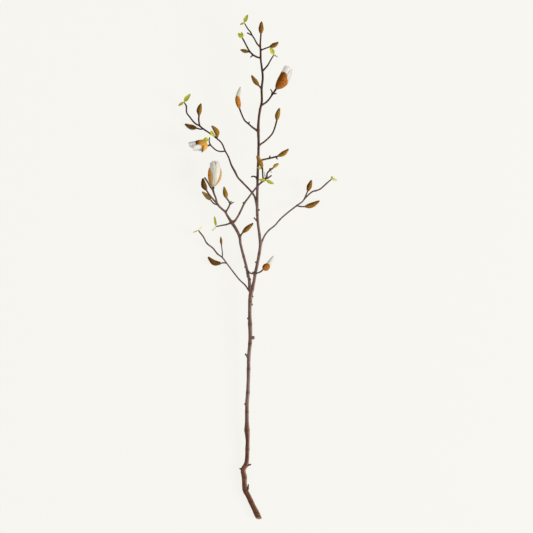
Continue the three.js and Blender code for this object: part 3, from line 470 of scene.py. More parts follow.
class Course:
    """A smooth line through points in millimetres, walked by its distance in metres."""

    STEPS = 12

    def __init__(self, points):
        spots = [Vector(point[:3]) * MM for point in points]
        radii = [point[3] * MM if len(point) > 3 else 0.0 for point in points]
        line = [2 * spots[0] - spots[1], *spots, 2 * spots[-1] - spots[-2]]
        self.spots = [spots[0]]
        self.radii = [radii[0]]
        self.reach = [0.0]
        self.knots = [0.0]
        for k in range(len(spots) - 1):
            for step in range(1, self.STEPS + 1):
                share = step / self.STEPS
                spot = between(*line[k:k + 4], share)
                self.reach.append(self.reach[-1] + (spot - self.spots[-1]).length)
                self.spots.append(spot)
                self.radii.append(radii[k] + (radii[k + 1] - radii[k]) * share)
            self.knots.append(self.reach[-1])
        self.length = self.reach[-1]

    def at(self, distance):
        distance = min(max(distance, 0.0), self.length)
        k = min(max(bisect.bisect_right(self.reach, distance) - 1, 0), len(self.spots) - 2)
        share = (distance - self.reach[k]) / (self.reach[k + 1] - self.reach[k])
        spot = self.spots[k].lerp(self.spots[k + 1], share)
        before = self.spots[k + 1] - self.spots[max(k - 1, 0)]
        after = self.spots[min(k + 2, len(self.spots) - 1)] - self.spots[k]
        along = before.normalized().lerp(after.normalized(), share).normalized()
        right = along.cross(UP).normalized()
        radius = self.radii[k] + (self.radii[k + 1] - self.radii[k]) * share
        return Stop(spot, along, right, right.cross(along), radius)


def between(before, start, end, after, share):
    """A point of the centripetal curve from start to end."""
    gap_in, gap, gap_out = (
        max((b - a).length, 1e-9) ** 0.5 for a, b in ((before, start), (start, end), (end, after))
    )
    leave = (start - before) / gap_in - (end - before) / (gap_in + gap) + (end - start) / gap
    arrive = (end - start) / gap - (after - start) / (gap + gap_out) + (after - end) / gap_out
    leave, arrive = leave * gap, arrive * gap
    bend = 3 * (end - start) - 2 * leave - arrive
    settle = 2 * (start - end) + leave + arrive
    return start + leave * share + bend * share ** 2 + settle * share ** 3


def smooth(value):
    value = min(max(value, 0.0), 1.0)
    return value * value * (3 - 2 * value)


def bump(distance, width):
    return math.exp(-((distance / width) ** 2))


# ---- Meshes ----
def new_mesh():
    """An empty bmesh with the layers that the finishes read."""
    bm = bmesh.new()
    bm.verts.layers.float_vector.new("grain")
    for name in ("girth", "mark", "knot", "down", "share", "blush"):
        bm.verts.layers.float.new(name)
    bm.loops.layers.uv.new("Blade")
    return bm


def layers(bm, *names):
    """The layers of those names, of which only grain holds vectors."""
    kept = bm.verts.layers
    return [(kept.float_vector if name == "grain" else kept.float)[name] for name in names]


def set_order(bm):
    """Sorts the corners and faces, because an extrusion leaves them in another order each run."""
    corners = bm.verts, lambda v: v.co[:]
    faces = bm.faces, lambda f: sorted(v.index for v in f.verts)
    for items, key in (corners, faces):
        for rank, item in enumerate(sorted(items, key=key)):
            item.index = rank
        items.sort()


def weld(bm):
    set_order(bm)
    bmesh.ops.remove_doubles(bm, verts=bm.verts, dist=WELD)


def join(bm, lot):
    """Moves what one bmesh holds into another."""
    mesh = bpy.data.meshes.new("lot")
    lot.to_mesh(mesh)
    lot.free()
    bm.from_mesh(mesh)
    bpy.data.meshes.remove(mesh)


def painted_light_share(outward):
    """How much painted light a side that faces that way gets, golden on the down: most towards the key
    lamp, none away from it.
    """
    return smooth(0.5 + 0.62 * outward.dot(KEY_LAMP_SIDE))


def corners_of(made):
    return [v for v in made["geom"] if isinstance(v, bmesh.types.BMVert)]


def ring_edges(ring):
    """The edges between a ring's corners, in the same order each run."""
    members = set(ring)
    return list(dict.fromkeys(e for v in ring for e in v.link_edges if e.other_vert(v) in members))


def sweep(bm, course, places, sides, reach, note):
    """Extrudes a ring of edges along a course and closes both ends.
    reach(place, turn) is the radius there, and note(place) gives the ring's layer values."""
    turn_of, blush, grain = layers(bm, "mark", "blush", "grain")
    ring = bmesh.ops.create_circle(bm, segments=sides, radius=1.0)["verts"]
    turns = {v: math.atan2(v.co.y, v.co.x) for v in ring}
    rings = []
    for k, place in enumerate(places):
        if k:
            for v in ring:
                v[turn_of] = turns[v]
            ring = corners_of(bmesh.ops.extrude_edge_only(bm, edges=ring_edges(ring)))
            turns = {v: v[turn_of] for v in ring}
        stop = course.at(place)
        for v in ring:
            radius = reach(place, turns[v])
            side = math.cos(turns[v]) * radius
            lift = math.sin(turns[v]) * radius
            v.co = stop.spot + stop.right * side + stop.up * lift
            v[grain] = (side, lift, place)
            # Painted light: how far each corner faces the key lamp, for the finishes to paint lighter.
            v[blush] = painted_light_share(stop.right * math.cos(turns[v]) + stop.up * math.sin(turns[v]))
        rings.append((ring, place))
    for ring, place in rings:
        for name, value in note(place).items():
            [layer] = layers(bm, name)
            for v in ring:
                v[layer] = value
    for ring, place in (rings[0], rings[-1]):
        bmesh.ops.pointmerge(bm, verts=ring, merge_co=course.at(place).spot)


def bulb(bm, course, length, rings, sides, reach):
    """Sweeps a closed shape over a length of its course, with rings that crowd at both ends."""
    places = [length * (1 - math.cos(math.pi * k / rings)) / 2 for k in range(rings + 1)]
    sweep(bm, course, places, sides, reach, lambda place: {"share": place / length})


def new_shell(columns, rows):
    """A grid with a second side to shape as a closed shell, and its corners. Each is (corner, how
    far across it is from -1 to 1, its share of the length, whether it is on the second side)."""
    bm = new_mesh()
    bmesh.ops.create_grid(bm, x_segments=columns, y_segments=rows, size=0.5, calc_uvs=True)
    sides = bm.verts[:], corners_of(bmesh.ops.extrude_face_region(bm, geom=bm.faces[:]))
    return bm, [
        (v, v.co.x * 2, v.co.y + 0.5, inner) for inner, side in enumerate(sides) for v in side
    ]


def add_ball(bm, spot, radius, stretch):
    place = Matrix.Translation(Vector(spot) * MM) @ Matrix.Diagonal((1, stretch, 1, 1))
    made = bmesh.ops.create_uvsphere(bm, u_segments=12, v_segments=8, radius=radius * MM, matrix=place)
    return made["verts"]


def add_piece(name, bm, node, slot, *finishes):
    """Makes the finished mesh a piece of the branch that stands for its node."""
    bmesh.ops.recalc_face_normals(bm, faces=bm.faces)
    set_order(bm)
    mesh = bpy.data.meshes.new(name)
    bm.to_mesh(mesh)
    bm.free()
    mesh.shade_smooth()
    for finish in finishes:
        mesh.materials.append(FINISHES[finish])
    piece = bpy.data.objects.new(name, mesh)
    bpy.context.scene.collection.objects.link(piece)
    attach(piece, "root")
    if node:
        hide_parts(node)


# ---- Wood ----
def ring_places(start, end, scars, scar_radius):
    """Distances of the rings of a rod: evenly spaced, and close together at its bud scars."""
    count = max(2, round((end - start) / RING_STEP))
    places = {start + (end - start) * k / count for k in range(count + 1)}
    for scar in scars:
        places.update(scar + offset * scar_radius for offset in SCAR_RINGS)
    return {place for place in places if start <= place <= end}


def rod(bm, course, sides, carrier=0.0, start=0.0, end=None, nub=False):
    """One round length of wood along a course, with swollen bud scars and an uneven skin.
    carrier is the radius of the wood that it grows out of, where it starts in a rounded root and a
    collar. A nub has younger, darker bark."""
    tip_radius = course.radii[-1]
    seed = course.spots[0] / MM
    scars = course.knots[1:-1:2]
    root = carrier * ROOT_REACH
    places = ring_places(start, course.length if end is None else end, scars, course.radii[0])
    if carrier:
        places.update(root * share for share in ROOT_RINGS)
    if end is None:
        places.update(course.length - tip_radius * share for share in TIP_RINGS)

    def scar_at(place, width):
        width *= course.at(place).radius
        return sum(bump(place - scar, width) for scar in scars)

    def reach(place, turn):
        radius = course.at(place).radius
        flare = 0
        if carrier:
            collar = min(0.4, max(carrier / radius - 1, 0.1))
            flare = collar * bump(max(place - carrier, 0.0), radius * 1.3)
            buried = 1 - min(place / root, 1)
            radius *= math.sqrt(max(1 - buried ** 2, 0.0))
        around = Vector((math.cos(turn), math.sin(turn), 0)) * 0.9
        uneven = noise.noise(around + Vector((0, 0, place * 55)) + seed)
        ridges = noise.noise(around * 4 + Vector((0, 0, place * 22)) + seed)
        left = (course.length - place) / tip_radius / TIP_RINGS[0]
        rounded = math.sqrt(max(1 - (1 - min(left, 1)) ** 2, 0.0))
        swell = 1 + flare + 0.15 * scar_at(place, 0.9) - 0.14 * scar_at(place, SCAR_WIDTH)
        return radius * rounded * (swell + 0.07 * uneven + 0.035 * ridges)

    def note(place):
        return {
            "girth": course.at(place).radius / MM * (0.55 if nub else 1),
            "mark": scar_at(place, SCAR_WIDTH),
            "knot": scar_at(place, 1.7) + (bump(place - carrier, 2.2 * carrier) if carrier else 0),
        }

    places = sorted(places)
    if not carrier:
        places.insert(0, start)
    if end is not None:
        places.append(end)
    sweep(bm, course, places, sides, reach, note)


def carrier_radius(name, start, grows_on_itself):
    """Radius of the wood that a route starts in."""
    others = [axis for other, axis in AXES.items() if grows_on_itself == (other == name)]
    return min(
        ((axis.spots[k] - start).length, axis.radii[k])
        for axis in others for k in range(0, len(axis.spots), 3)
    )[1]


def cut_foot(bm):
    """Cuts the foot of the main stem on a slant and leaves its end grain bare."""
    foot, above = (Vector(point[:3]) * MM for point in MAIN_STEM[0][:2])
    along = (above - foot).normalized()
    facing = UP * math.sin(CUT_TILT) - Vector((0, 1, 0)) * math.cos(CUT_TILT)
    middle = foot + along * MAIN_STEM[0][0][3] * MM * 0.5
    set_order(bm)
    geometry = [*bm.verts, *bm.edges, *bm.faces]
    bmesh.ops.bisect_plane(bm, geom=geometry, plane_co=middle, plane_no=facing, clear_outer=True)
    rim = [e for e in bm.edges if e.is_boundary]
    face = bmesh.ops.contextual_create(bm, geom=rim)["faces"][0]
    bmesh.ops.inset_region(bm, faces=[face], thickness=BARK_THICKNESS, depth=-CUT_DEPTH)
    inner = max((f for f in bm.faces if len(f.verts) > 4), key=lambda f: f.calc_area())
    inner.material_index = 1
    for part in bmesh.ops.poke(bm, faces=[inner])["faces"]:
        part.material_index = 1


def add_bumps(bm, bumps):
    """Dormant buds half sunk in the bark."""
    grain, girth, mark = layers(bm, "grain", "girth", "mark")
    for *spot, radius in bumps:
        for v in add_ball(bm, spot, radius, 1.35):
            v[grain] = v.co * 0.6
            v[girth] = 2.5
            v[mark] = 0.4


def make_wood():
    fork = TRUNK.knots[len(MAIN_STEM[0]) - 1]
    for name, routes in WOOD.items():
        bm = new_mesh()
        if name == "main_stem":
            rod(bm, TRUNK, STEM_SIDES, end=fork)
            cut_foot(bm)
        elif name == "leader":
            rod(bm, TRUNK, STEM_SIDES, start=fork)
        else:
            rod(bm, AXES[name], SHOOT_SIDES, carrier_radius(name, AXES[name].spots[0], False))
        for route in routes[1:]:
            course = Course(route)
            rod(bm, course, NUB_SIDES, carrier_radius(name, course.spots[0], True), nub=True)
        add_bumps(bm, BARK_BUMPS.get(name, []))
        add_piece(name + "_bark", bm, name, "bark", "bark", "end_grain")


# ---- Down ----
def lie(rng, along, outward, lean, stray):
    """The direction of a hair that stands off by an angle within lean and strays sideways."""
    angle = math.radians(rng.uniform(*lean))
    sideways = along.cross(outward) * rng.uniform(-stray, stray)
    return (along * math.cos(angle) + outward * math.sin(angle) + sideways).normalized()


def add_hairs(bm, hairs):
    """Sets short hairs, each (root, direction, length, share, share of painted light). They are made in
    small lots and then joined, because an operator slows down as its mesh grows."""
    for first in range(0, len(hairs), HAIR_LOT):
        lot = new_mesh()
        down, along, blush = layers(lot, "down", "share", "blush")
        for root, direction, length, share, golden in hairs[first:first + HAIR_LOT]:
            turned = direction.to_track_quat("Z", "X").to_matrix().to_4x4()
            place = Matrix.Translation(root + direction * length / 2) @ turned
            made = bmesh.ops.create_cone(
                lot, cap_ends=True, segments=3, radius1=HAIR_WIDTH / 2, radius2=0,
                depth=length, matrix=place,
            )
            for v in made["verts"]:
                v[down] = 1.0 if (v.co - root).length > length / 2 else 0.3
                v[along] = share
                # golden is the hair's share of painted light, which the finish paints as golden light
                # or shade.
                v[blush] = golden
        join(bm, lot)


# ---- Closed buds ----
def bud_swell(share, fullest):
    """Share of a bud's full radius at a share of its length: a round foot and a blunt point."""
    if share < fullest:
        return 0.36 + 0.64 * math.sin(math.pi / 2 * share / fullest) ** 0.9
    ahead = (share - fullest) / (1 - fullest)
    blunt = math.sqrt(max(1 - max((ahead - 0.93) / 0.07, 0.0) ** 2, 0.0))
    return (1 - 0.78 * ahead ** 1.55) * blunt


def make_bud(name, axis, radius, fullest, finish):
    rng = random.Random(name)
    course = Course(axis)
    seam = rng.uniform(0.9, 2.2)
    bm = new_mesh()

    def reach(place, turn):
        share = place / course.length
        off_seam = (turn - seam - 1.2 * share + math.pi) % (2 * math.pi) - math.pi
        overlap = 0.1 * smooth(off_seam / 0.2 + 0.5) * (1 - smooth(off_seam / 2.4))
        around = Vector((math.cos(turn), math.sin(turn), 0))
        lump = noise.noise(around * 1.4 + Vector((0, 0, place * 110)) + course.spots[0] / MM)
        collar = 0.12 * bump(share - 0.035, 0.03)
        return radius * MM * (bud_swell(share, fullest) * (0.93 + overlap + 0.07 * lump) + collar)

    bulb(bm, course, course.length, BUD_RINGS, BUD_SIDES, reach)
    hairs = []
    while len(hairs) < HAIRS_PER_BUD * (radius / 6.4) ** 2:
        share = rng.uniform(0.03, 0.985)
        if rng.random() > bud_swell(share, fullest) + 0.15:
            continue
        turn = rng.uniform(-math.pi, math.pi)
        stop = course.at(share * course.length)
        outward = stop.right * math.cos(turn) + stop.up * math.sin(turn)
        root = stop.spot + outward * reach(share * course.length, turn) * 0.97
        direction = lie(rng, stop.along, outward, (16, 46), 0.25)
        length = BUD_HAIR * rng.uniform(0.6, 1.1) * (1 - 0.5 * share)
        hairs.append((root, direction, length, share, painted_light_share(outward)))
    add_hairs(bm, hairs)
    add_piece(name + "_furry", bm, name, "bud", finish)


# ---- Blossoms ----
def bloom_outline(share, fullest):
    """How far a blossom stands out from its axis, as a share of its radius."""
    if share < fullest:
        return (1 - (1 - share / fullest) ** 2) ** 0.85
    return 1 - 0.58 * ((share - fullest) / (1 - fullest)) ** 1.9


class Blade:
    """A petal or bract: a thin cupped sheet wrapped round its blossom's axis."""

    def __init__(self, course, fullest, kind, shape, seed):
        bearing, half_arc, radius, self.start, self.end, self.lift, *point = shape
        self.course = course
        self.fullest = fullest
        self.bearing = math.radians(bearing)
        self.half_arc = math.radians(half_arc)
        self.radius = radius * MM
        self.foot = FOOT_RADIUS[kind] * MM
        self.point = point[0] if point else TIP_POINT[kind if half_arc < 120 else "wrapped"]
        self.seed = Vector((seed % 97, seed % 89, seed % 83))

    def width(self, share):
        """Half width at a share of the blade's length, of 1 at its widest."""
        return (0.7 + 0.3 * smooth(share / 0.35)) * max(1 - share ** self.point, 0.0) ** 0.5

    def spot(self, across, share):
        """A place on the blade's outer side, and the ways out and along there. across runs from
        -1 to 1."""
        on_axis = self.start + (self.end - self.start) * share
        stop = self.course.at(on_axis * self.course.length)
        outline = bloom_outline(on_axis, self.fullest) + self.lift * share ** 3
        ring = self.foot + (self.radius - self.foot) * max(outline, 0.02)
        angle = self.bearing + self.half_arc * across * self.width(share)
        ripple = noise.noise(Vector((across * 1.6, share * 2.2, 0)) + self.seed)
        frill = noise.noise(Vector((across * 0.5, share * 8, 3)) + self.seed) * across ** 4
        ribs = noise.noise(Vector((across * 11, share * 1.2, 7)) + self.seed)
        furrow = bump(across, 0.22) * math.sin(math.pi * share)
        curl = 0.07 * across ** 6
        ring *= 1 + 0.05 * ripple * share + 0.03 * frill * share + 0.008 * ribs - 0.05 * furrow - curl
        outward = stop.right * math.sin(angle) + stop.up * math.cos(angle)
        return stop.spot + outward * ring, outward, stop.along

    def sheet(self, columns, rows, wall):
        bm, corners = new_shell(columns, rows)
        share_of, blush, grain = layers(bm, "share", "blush", "grain")
        for v, across, share, inner in corners:
            spot, outward, _ = self.spot(across, share)
            thin = wall * (1 - 0.6 * across ** 4) * (1 - 0.5 * share)
            v.co = spot - outward * thin if inner else spot
            v[share_of] = share
            # Painted light: how far each corner faces the key lamp, for the finishes to paint lighter.
            v[blush] = painted_light_share(outward)
            v[grain] = (across * self.radius, 0, share * self.course.length)
        weld(bm)
        return bm

    def hairs(self, count, rng):
        found = []
        for _ in range(count):
            across, share = rng.uniform(-1, 1), rng.uniform(0.01, 0.99)
            if rng.random() > self.width(share):
                continue
            root, outward, along = self.spot(across, share)
            direction = lie(rng, along, outward, (12, 42), 0.3)
            length = BRACT_HAIR * rng.uniform(0.6, 1.2)
            found.append((root, direction, length, share, painted_light_share(outward)))
        return found


def make_blade(name, node, course, fullest, kind, shape, finish):
    rng = random.Random(name)
    blade = Blade(course, fullest, kind, shape, rng.randrange(10000))
    half_arc, radius = shape[1:3]
    columns = WIDE_BLADE_COLUMNS if half_arc > 90 else BLADE_COLUMNS
    if kind == "bract":
        bm = blade.sheet(columns, BRACT_ROWS, BRACT_WALL)
        add_hairs(bm, blade.hairs(round(HAIRS_PER_BRACT * half_arc * radius / 700), rng))
    else:
        bm = blade.sheet(columns, PETAL_ROWS, PETAL_WALL)
    add_piece(name + "_grown", bm, node, kind, finish)


def make_heart(name, course, radius, end, finish):
    """The petals still furled round the middle, as one closed twist."""
    length = course.length * end

    def reach(place, turn):
        share = place / length
        fold = (turn * 1.5 - 5 * share) % math.pi / math.pi
        tip = max(1 - share ** 3.2, 0.0) ** 0.6
        return radius * MM * (0.25 + 0.75 * smooth(share / 0.4)) * tip * (0.9 + 0.1 * fold)

    bm = new_mesh()
    bulb(bm, course, length, HEART_RINGS, HEART_SIDES, reach)
    add_piece(name + "_heart", bm, None, "petal", finish)


def make_blossoms():
    for name, (axis, fullest, blades) in BLOSSOMS.items():
        course = Course(axis)
        for part, *shape in blades:
            kind = "bract" if part.startswith("bract") else "petal"
            piece = f"{name}_{part}"
            node = None if part.startswith("further") else piece
            colour = BLADE_FINISHES.get(piece) or BLADE_FINISHES[f"{name}_{kind}"]
            make_blade(piece, node, course, fullest, kind, shape, f"{colour}_{kind}")
        make_heart(name, course, *HEARTS[name], BLADE_FINISHES[name + "_petal"] + "_petal")


# ---- Leaves ----
def add_leaf(bm, foot, tip, width, roll, seed):
    """One leaf blade: folded on its midrib, arched along its length and wavy at its edge."""
    foot, tip = Vector(foot) * MM, Vector(tip) * MM
    width *= MM
    crest = (foot + tip) / 2 + UP * width * 0.15
    course = Course([point / MM for point in (foot, crest, tip)])
    turn = Matrix.Rotation(math.radians(roll), 3, "Z")
    lot, corners = new_shell(LEAF_COLUMNS, LEAF_ROWS)
    [share_of] = layers(lot, "share")
    for v, side, share, inner in corners:
        stop = course.at(share * course.length)
        reach = (0.22 + 0.78 * smooth(share / 0.4)) * max(1 - share ** 2.6, 0.0) ** 0.65
        across = side * reach * width / 2
        wave = noise.noise(Vector((side, share * 4, seed))) * side ** 2 * width * 0.07
        fold = abs(across) * 0.3 - width * 0.02 * bump(side, 0.15)
        under = LEAF_WALL * (1 - 0.6 * side ** 4) if inner else 0
        section = turn @ Vector((across, fold + wave - under, 0))
        v.co = stop.spot + stop.right * section.x + stop.up * section.y
        v[share_of] = share
    weld(lot)
    join(bm, lot)


def make_leaves():
    for name, (foot, leaves) in LEAF_TUFTS.items():
        bm = new_mesh()
        kinds = list(dict.fromkeys(kind for *_, kind in leaves))
        for k, (tip, width, roll, kind) in enumerate(leaves):
            before = len(bm.faces)
            add_leaf(bm, foot, tip, width, roll, k * 5.3 + width)
            bm.faces.ensure_lookup_table()
            for face in bm.faces[before:]:
                face.material_index = kinds.index(kind)
        add_ball(bm, foot, LEAF_FOOT, 1.2)
        add_piece(name + "_grown", bm, name, "leaf", *(kind + "_leaf" for kind in kinds))
    for name, (foot, tip, width, roll, kind) in SMALL_LEAVES.items():
        bm = new_mesh()
        add_leaf(bm, foot, tip, width, roll, width)
        add_piece(name, bm, None, "leaf", kind + "_leaf")


# ---- Node trees ----
def paint(value):
    """A linear colour. Three channels are sRGB ones from 0 to 255, and four are linear already."""
    if len(value) == 4:
        return value
    values = [channel / 255 for channel in value]
    return [v / 12.92 if v <= 0.04045 else ((v + 0.055) / 1.055) ** 2.4 for v in values] + [1.0]


class Wiring:
    """A shader tree being wired. Every input takes a socket, a number, a vector or a colour."""

    def __init__(self, tree):
        self.tree = tree

    def feed(self, socket, value):
        if isinstance(value, bpy.types.NodeSocket):
            self.tree.links.new(value, socket)
        else:
            socket.default_value = paint(value) if socket.type == "RGBA" else value

    def node(self, kind, inputs, **settings):
        """Adds a shader node and returns its outputs."""
        made = self.tree.nodes.new("ShaderNode" + kind)
        for key, value in settings.items():
            setattr(made, key, value)
        for key, value in inputs.items():
            self.feed(made.inputs[key], value)
        return made.outputs

    def maths(self, operation, *values):
        return self.node("Math", dict(enumerate(values)), operation=operation)[0]

    def times(self, first, second):
        return self.maths("MULTIPLY", first, second)

    def spread(self, value, low, high, out_low=0.0, out_high=1.0):
        """Stretches the values between low and high over the outer range."""
        return self.node("MapRange", {
            "Value": value, "From Min": low, "From Max": high, "To Min": out_low, "To Max": out_high,
        })["Result"]

    def blend(self, factor, first, second, mode="MIX"):
        # Inputs 0, 6 and 7 and output 2 are those for colours.
        inputs = {0: factor, 6: first, 7: second}
        return self.node("Mix", inputs, data_type="RGBA", blend_type=mode)[2]

    def ramp(self, value, *stops):
        """A colour ramp with stops of (position, colour)."""
        made = self.tree.nodes.new("ShaderNodeValToRGB")
        self.feed(made.inputs["Fac"], value)
        points = made.color_ramp.elements
        while len(points) < len(stops):
            points.new(1.0)
        for point, (position, colour) in zip(points, stops):
            point.position = position
            point.color = paint(colour)
        return made.outputs["Color"]

    def attribute(self, name, output="Fac"):
        return self.node("Attribute", {}, attribute_name=name)[output]

    def place(self):
        return self.node("TexCoord", {})["Object"]

    def effect(self, name, *values):
        """An effect of EFFECTS, with its inputs in the order that it names them in."""
        return self.node("Group", dict(enumerate(values)), node_tree=EFFECTS[name])

    def raised(self, height, distance, strength):
        """The normal of a surface that is raised by that height."""
        return self.node("Bump", {
            "Height": height, "Distance": distance, "Strength": strength,
        })["Normal"]


class Finish(Wiring):
    """A material being made. It is kept in FINISHES under its name."""

    def __init__(self, name):
        made = bpy.data.materials.new(name)
        made.use_nodes = True
        super().__init__(made.node_tree)
        FINISHES[name] = made

    def shade(self, inputs):
        shader = self.tree.nodes["Principled BSDF"]
        for key, value in inputs.items():
            self.feed(shader.inputs[key], value)


# ---- Effects that the finishes share ----
def new_effect(name, inputs, outputs):
    """A node group. Its first input is a vector, and the others and its outputs are numbers."""
    tree = bpy.data.node_groups.new(name, "ShaderNodeTree")
    for k, label in enumerate(inputs.split()):
        kind = "NodeSocketFloat" if k else "NodeSocketVector"
        tree.interface.new_socket(label, in_out="INPUT", socket_type=kind)
    for label in outputs.split():
        tree.interface.new_socket(label, in_out="OUTPUT", socket_type="NodeSocketFloat")
    EFFECTS[name] = tree
    given, result = tree.nodes.new("NodeGroupInput"), tree.nodes.new("NodeGroupOutput")
    return Wiring(tree), given.outputs, result.inputs


def stretched(wiring, given):
    """The coordinates, with one scale across a shape and one along it."""
    across = given["Across"]
    scale = wiring.node("CombineXYZ", {"X": across, "Y": across, "Z": given["Along"]})
    inputs = {0: given["Vector"], 1: scale[0]}
    return wiring.node("VectorMath", inputs, operation="MULTIPLY")[0]


def make_streaks():
    """Fine streaks that run along a shape, from coordinates whose Z runs along it."""
    wiring, given, result = new_effect("streaks", "Vector Across Along", "Streak")
    cloud = wiring.node("TexNoise", {
        "Vector": stretched(wiring, given), "Scale": 1.0, "Detail": 5.0, "Roughness": 0.62,
    })
    wiring.feed(result["Streak"], wiring.spread(cloud["Fac"], 0.38, 0.62))


def make_mottle():
    """Soft uneven patches of two values."""
    wiring, given, result = new_effect("mottle", "Vector Scale", "Patch")
    cloud = wiring.node("TexNoise", {
        "Vector": given["Vector"], "Scale": given["Scale"], "Detail": 3.0, "Distortion": 0.4,
    })
    wiring.feed(result["Patch"], wiring.spread(cloud["Fac"], 0.35, 0.65))


def make_specks():
    """Scattered small spots, such as the pores of bark and the freckles of a bract."""
    wiring, given, result = new_effect("specks", "Vector Across Along Size", "Speck")
    cells = wiring.node("TexVoronoi", {"Vector": stretched(wiring, given), "Scale": 1.0})
    near = wiring.maths("SUBTRACT", given["Size"], cells["Distance"])
    wiring.feed(result["Speck"], wiring.spread(near, 0.0, 0.1))


def make_veins():
    """A midrib and slanting side veins over a blade's own UV map."""
    wiring, given, result = new_effect("veins", "Blade Pairs Slant", "Vein Midrib")
    parts = wiring.node("SeparateXYZ", {0: given["Blade"]})
    side = wiring.maths("ABSOLUTE", wiring.maths("SUBTRACT", parts["X"], 0.5))
    slanted = wiring.maths("SUBTRACT", parts["Y"], wiring.times(side, given["Slant"]))
    phase = wiring.maths("FRACT", wiring.times(slanted, given["Pairs"]))
    saw = wiring.maths("ABSOLUTE", wiring.maths("SUBTRACT", phase, 0.5))
    wiring.feed(result["Vein"], wiring.spread(saw, 0.12, 0.0))
    wiring.feed(result["Midrib"], wiring.spread(side, 0.035, 0.0))


# ---- Finishes ----
def finish_bark():
    """Grey-brown on the old stem, dark purple-brown on thin twigs, with pores and bud scars."""
    bark = Finish("bark")
    times, spread, blend = bark.times, bark.spread, bark.blend
    grain = bark.attribute("grain", "Vector")
    girth = spread(bark.attribute("girth"), 1.0, 7.0)
    fine = bark.effect("streaks", grain, 1400.0, 160.0)["Streak"]
    broad = bark.effect("streaks", grain, 260.0, 36.0)["Streak"]
    pores = bark.effect("specks", grain, 300.0, 460.0, 0.24)["Speck"]
    place = bark.place()
    age = spread(bark.node("SeparateXYZ", {0: place})["Y"], -0.65, 0.65)
    light, dark = (bark.ramp(age, *((row[0], row[k]) for row in BARK)) for k in (1, 2))
    tone = bark.maths("MULTIPLY_ADD", fine, 0.45, times(broad, 0.55))
    skin = blend(tone, dark, light)
    patch = bark.effect("mottle", place, 26.0)["Patch"]
    ripe = bark.maths("MULTIPLY_ADD", patch, 0.25, times(bark.attribute("knot"), 0.45))
    tawny = blend(tone, (96, 62, 36), (152, 110, 70))
    tinted = blend(bark.maths("MINIMUM", ripe, 0.6), skin, tawny)
    # Painted shade and light: the top of a stem is painted darkest as shade, and the side towards the
    # key lamp has a pale rim of painted highlight.
    lit_side = bark.attribute("blush")
    painted_top_shade = bark.ramp(
        lit_side, (0.1, (0, 0, 0, 1)), (0.5, (0.5, 0.5, 0.5, 1)), (0.75, (0.55, 0.55, 0.55, 1)),
        (0.9, (0, 0, 0, 1)),
    )
    top_shaded = blend(times(painted_top_shade, spread(girth, 0.1, 0.6)), tinted, dark)
    # Painted highlight: the pale rim on the side towards the key lamp.
    rim = times(spread(lit_side, 0.86, 1.0, 0.0, 0.42), spread(girth, 0.1, 0.5))
    rim_highlighted = blend(rim, top_shaded, (196, 166, 148))
    young = blend(spread(girth, 0.25, 0.0, 0.0, 0.65), rim_highlighted, dark)
    pored = blend(times(pores, 0.5), young, blend(0.5, light, (222, 196, 168)))
    bark.shade({
        "Base Color": blend(times(bark.attribute("mark"), 0.6), pored, (46, 30, 22)),
        "Roughness": spread(tone, 0, 1, 0.9, 0.62),
        "Specular IOR Level": 0.15,
        "Normal": bark.raised(bark.maths("MULTIPLY_ADD", pores, 0.5, tone), 0.6 * MM, 0.9),
    })


def finish_end_grain():
    """Pale cut wood with growth rings and a darker pith."""
    wood = Finish("end_grain")
    grain = wood.node("SeparateXYZ", {0: wood.attribute("grain", "Vector")})
    flat = wood.node("CombineXYZ", {"X": grain["X"], "Y": grain["Y"]})[0]
    out = wood.node("VectorMath", {0: flat}, operation="LENGTH")["Value"]
    rings = wood.maths("SINE", wood.times(out, 5200.0))
    fibres = wood.effect("mottle", flat, 900.0)["Patch"]
    ringed = wood.blend(wood.spread(rings, -1, 1), (196, 164, 140), (172, 138, 114))
    worn = wood.blend(wood.times(fibres, 0.4), ringed, (150, 116, 96))
    pith = wood.spread(out, 1.3 * MM, 0.8 * MM)
    wood.shade({
        "Base Color": wood.blend(pith, worn, (118, 84, 62)),
        "Roughness": 0.8,
        "Normal": wood.raised(rings, 0.1 * MM, 0.5),
    })


def finish_fur(name, body, body_dark, hair_root, hair_tip, painted_shade, tip=None):
    """The skin of a bud or bract and the down on it, told apart by the down layer. painted_shade
    multiplies the colours as painted shade on the side away from the key lamp."""
    fur = Finish(name)
    times, spread, blend = fur.times, fur.spread, fur.blend
    down = fur.attribute("down")
    place = fur.place()
    streak = fur.effect("streaks", fur.attribute("grain", "Vector"), 1100.0, 110.0)["Streak"]
    patch = fur.effect("mottle", place, 320.0)["Patch"]
    freckle = fur.effect("specks", place, 700.0, 700.0, 0.22)["Speck"]
    skin = blend(times(freckle, 0.5), blend(streak, body_dark, body), body_dark)
    hair = blend(spread(down, 0.3, 1.0), hair_root, hair_tip)
    tinted = blend(times(patch, 0.35), hair, hair_root)
    mixed = blend(spread(down, 0.05, 0.25), skin, tinted)
    # Painted light and shade: the side towards the key lamp keeps its colours, and the side away from
    # it is darkened.
    painted_light_ramp = fur.ramp(fur.attribute("blush"), (0.0, painted_shade), (0.75, (1, 1, 1, 1)))
    mixed = blend(1.0, mixed, painted_light_ramp, "MULTIPLY")
    if tip:
        mixed = blend(spread(fur.attribute("share"), 0.6, 0.88), mixed, tip)
    fur.shade({
        "Base Color": mixed,
        "Roughness": 0.85,
        "Specular IOR Level": 0.05,
        "Sheen Weight": 0.3,
        "Sheen Roughness": 0.45,
        "Sheen Tint": hair_tip,
        "Normal": fur.raised(streak, 0.3 * MM, 0.7),
    })


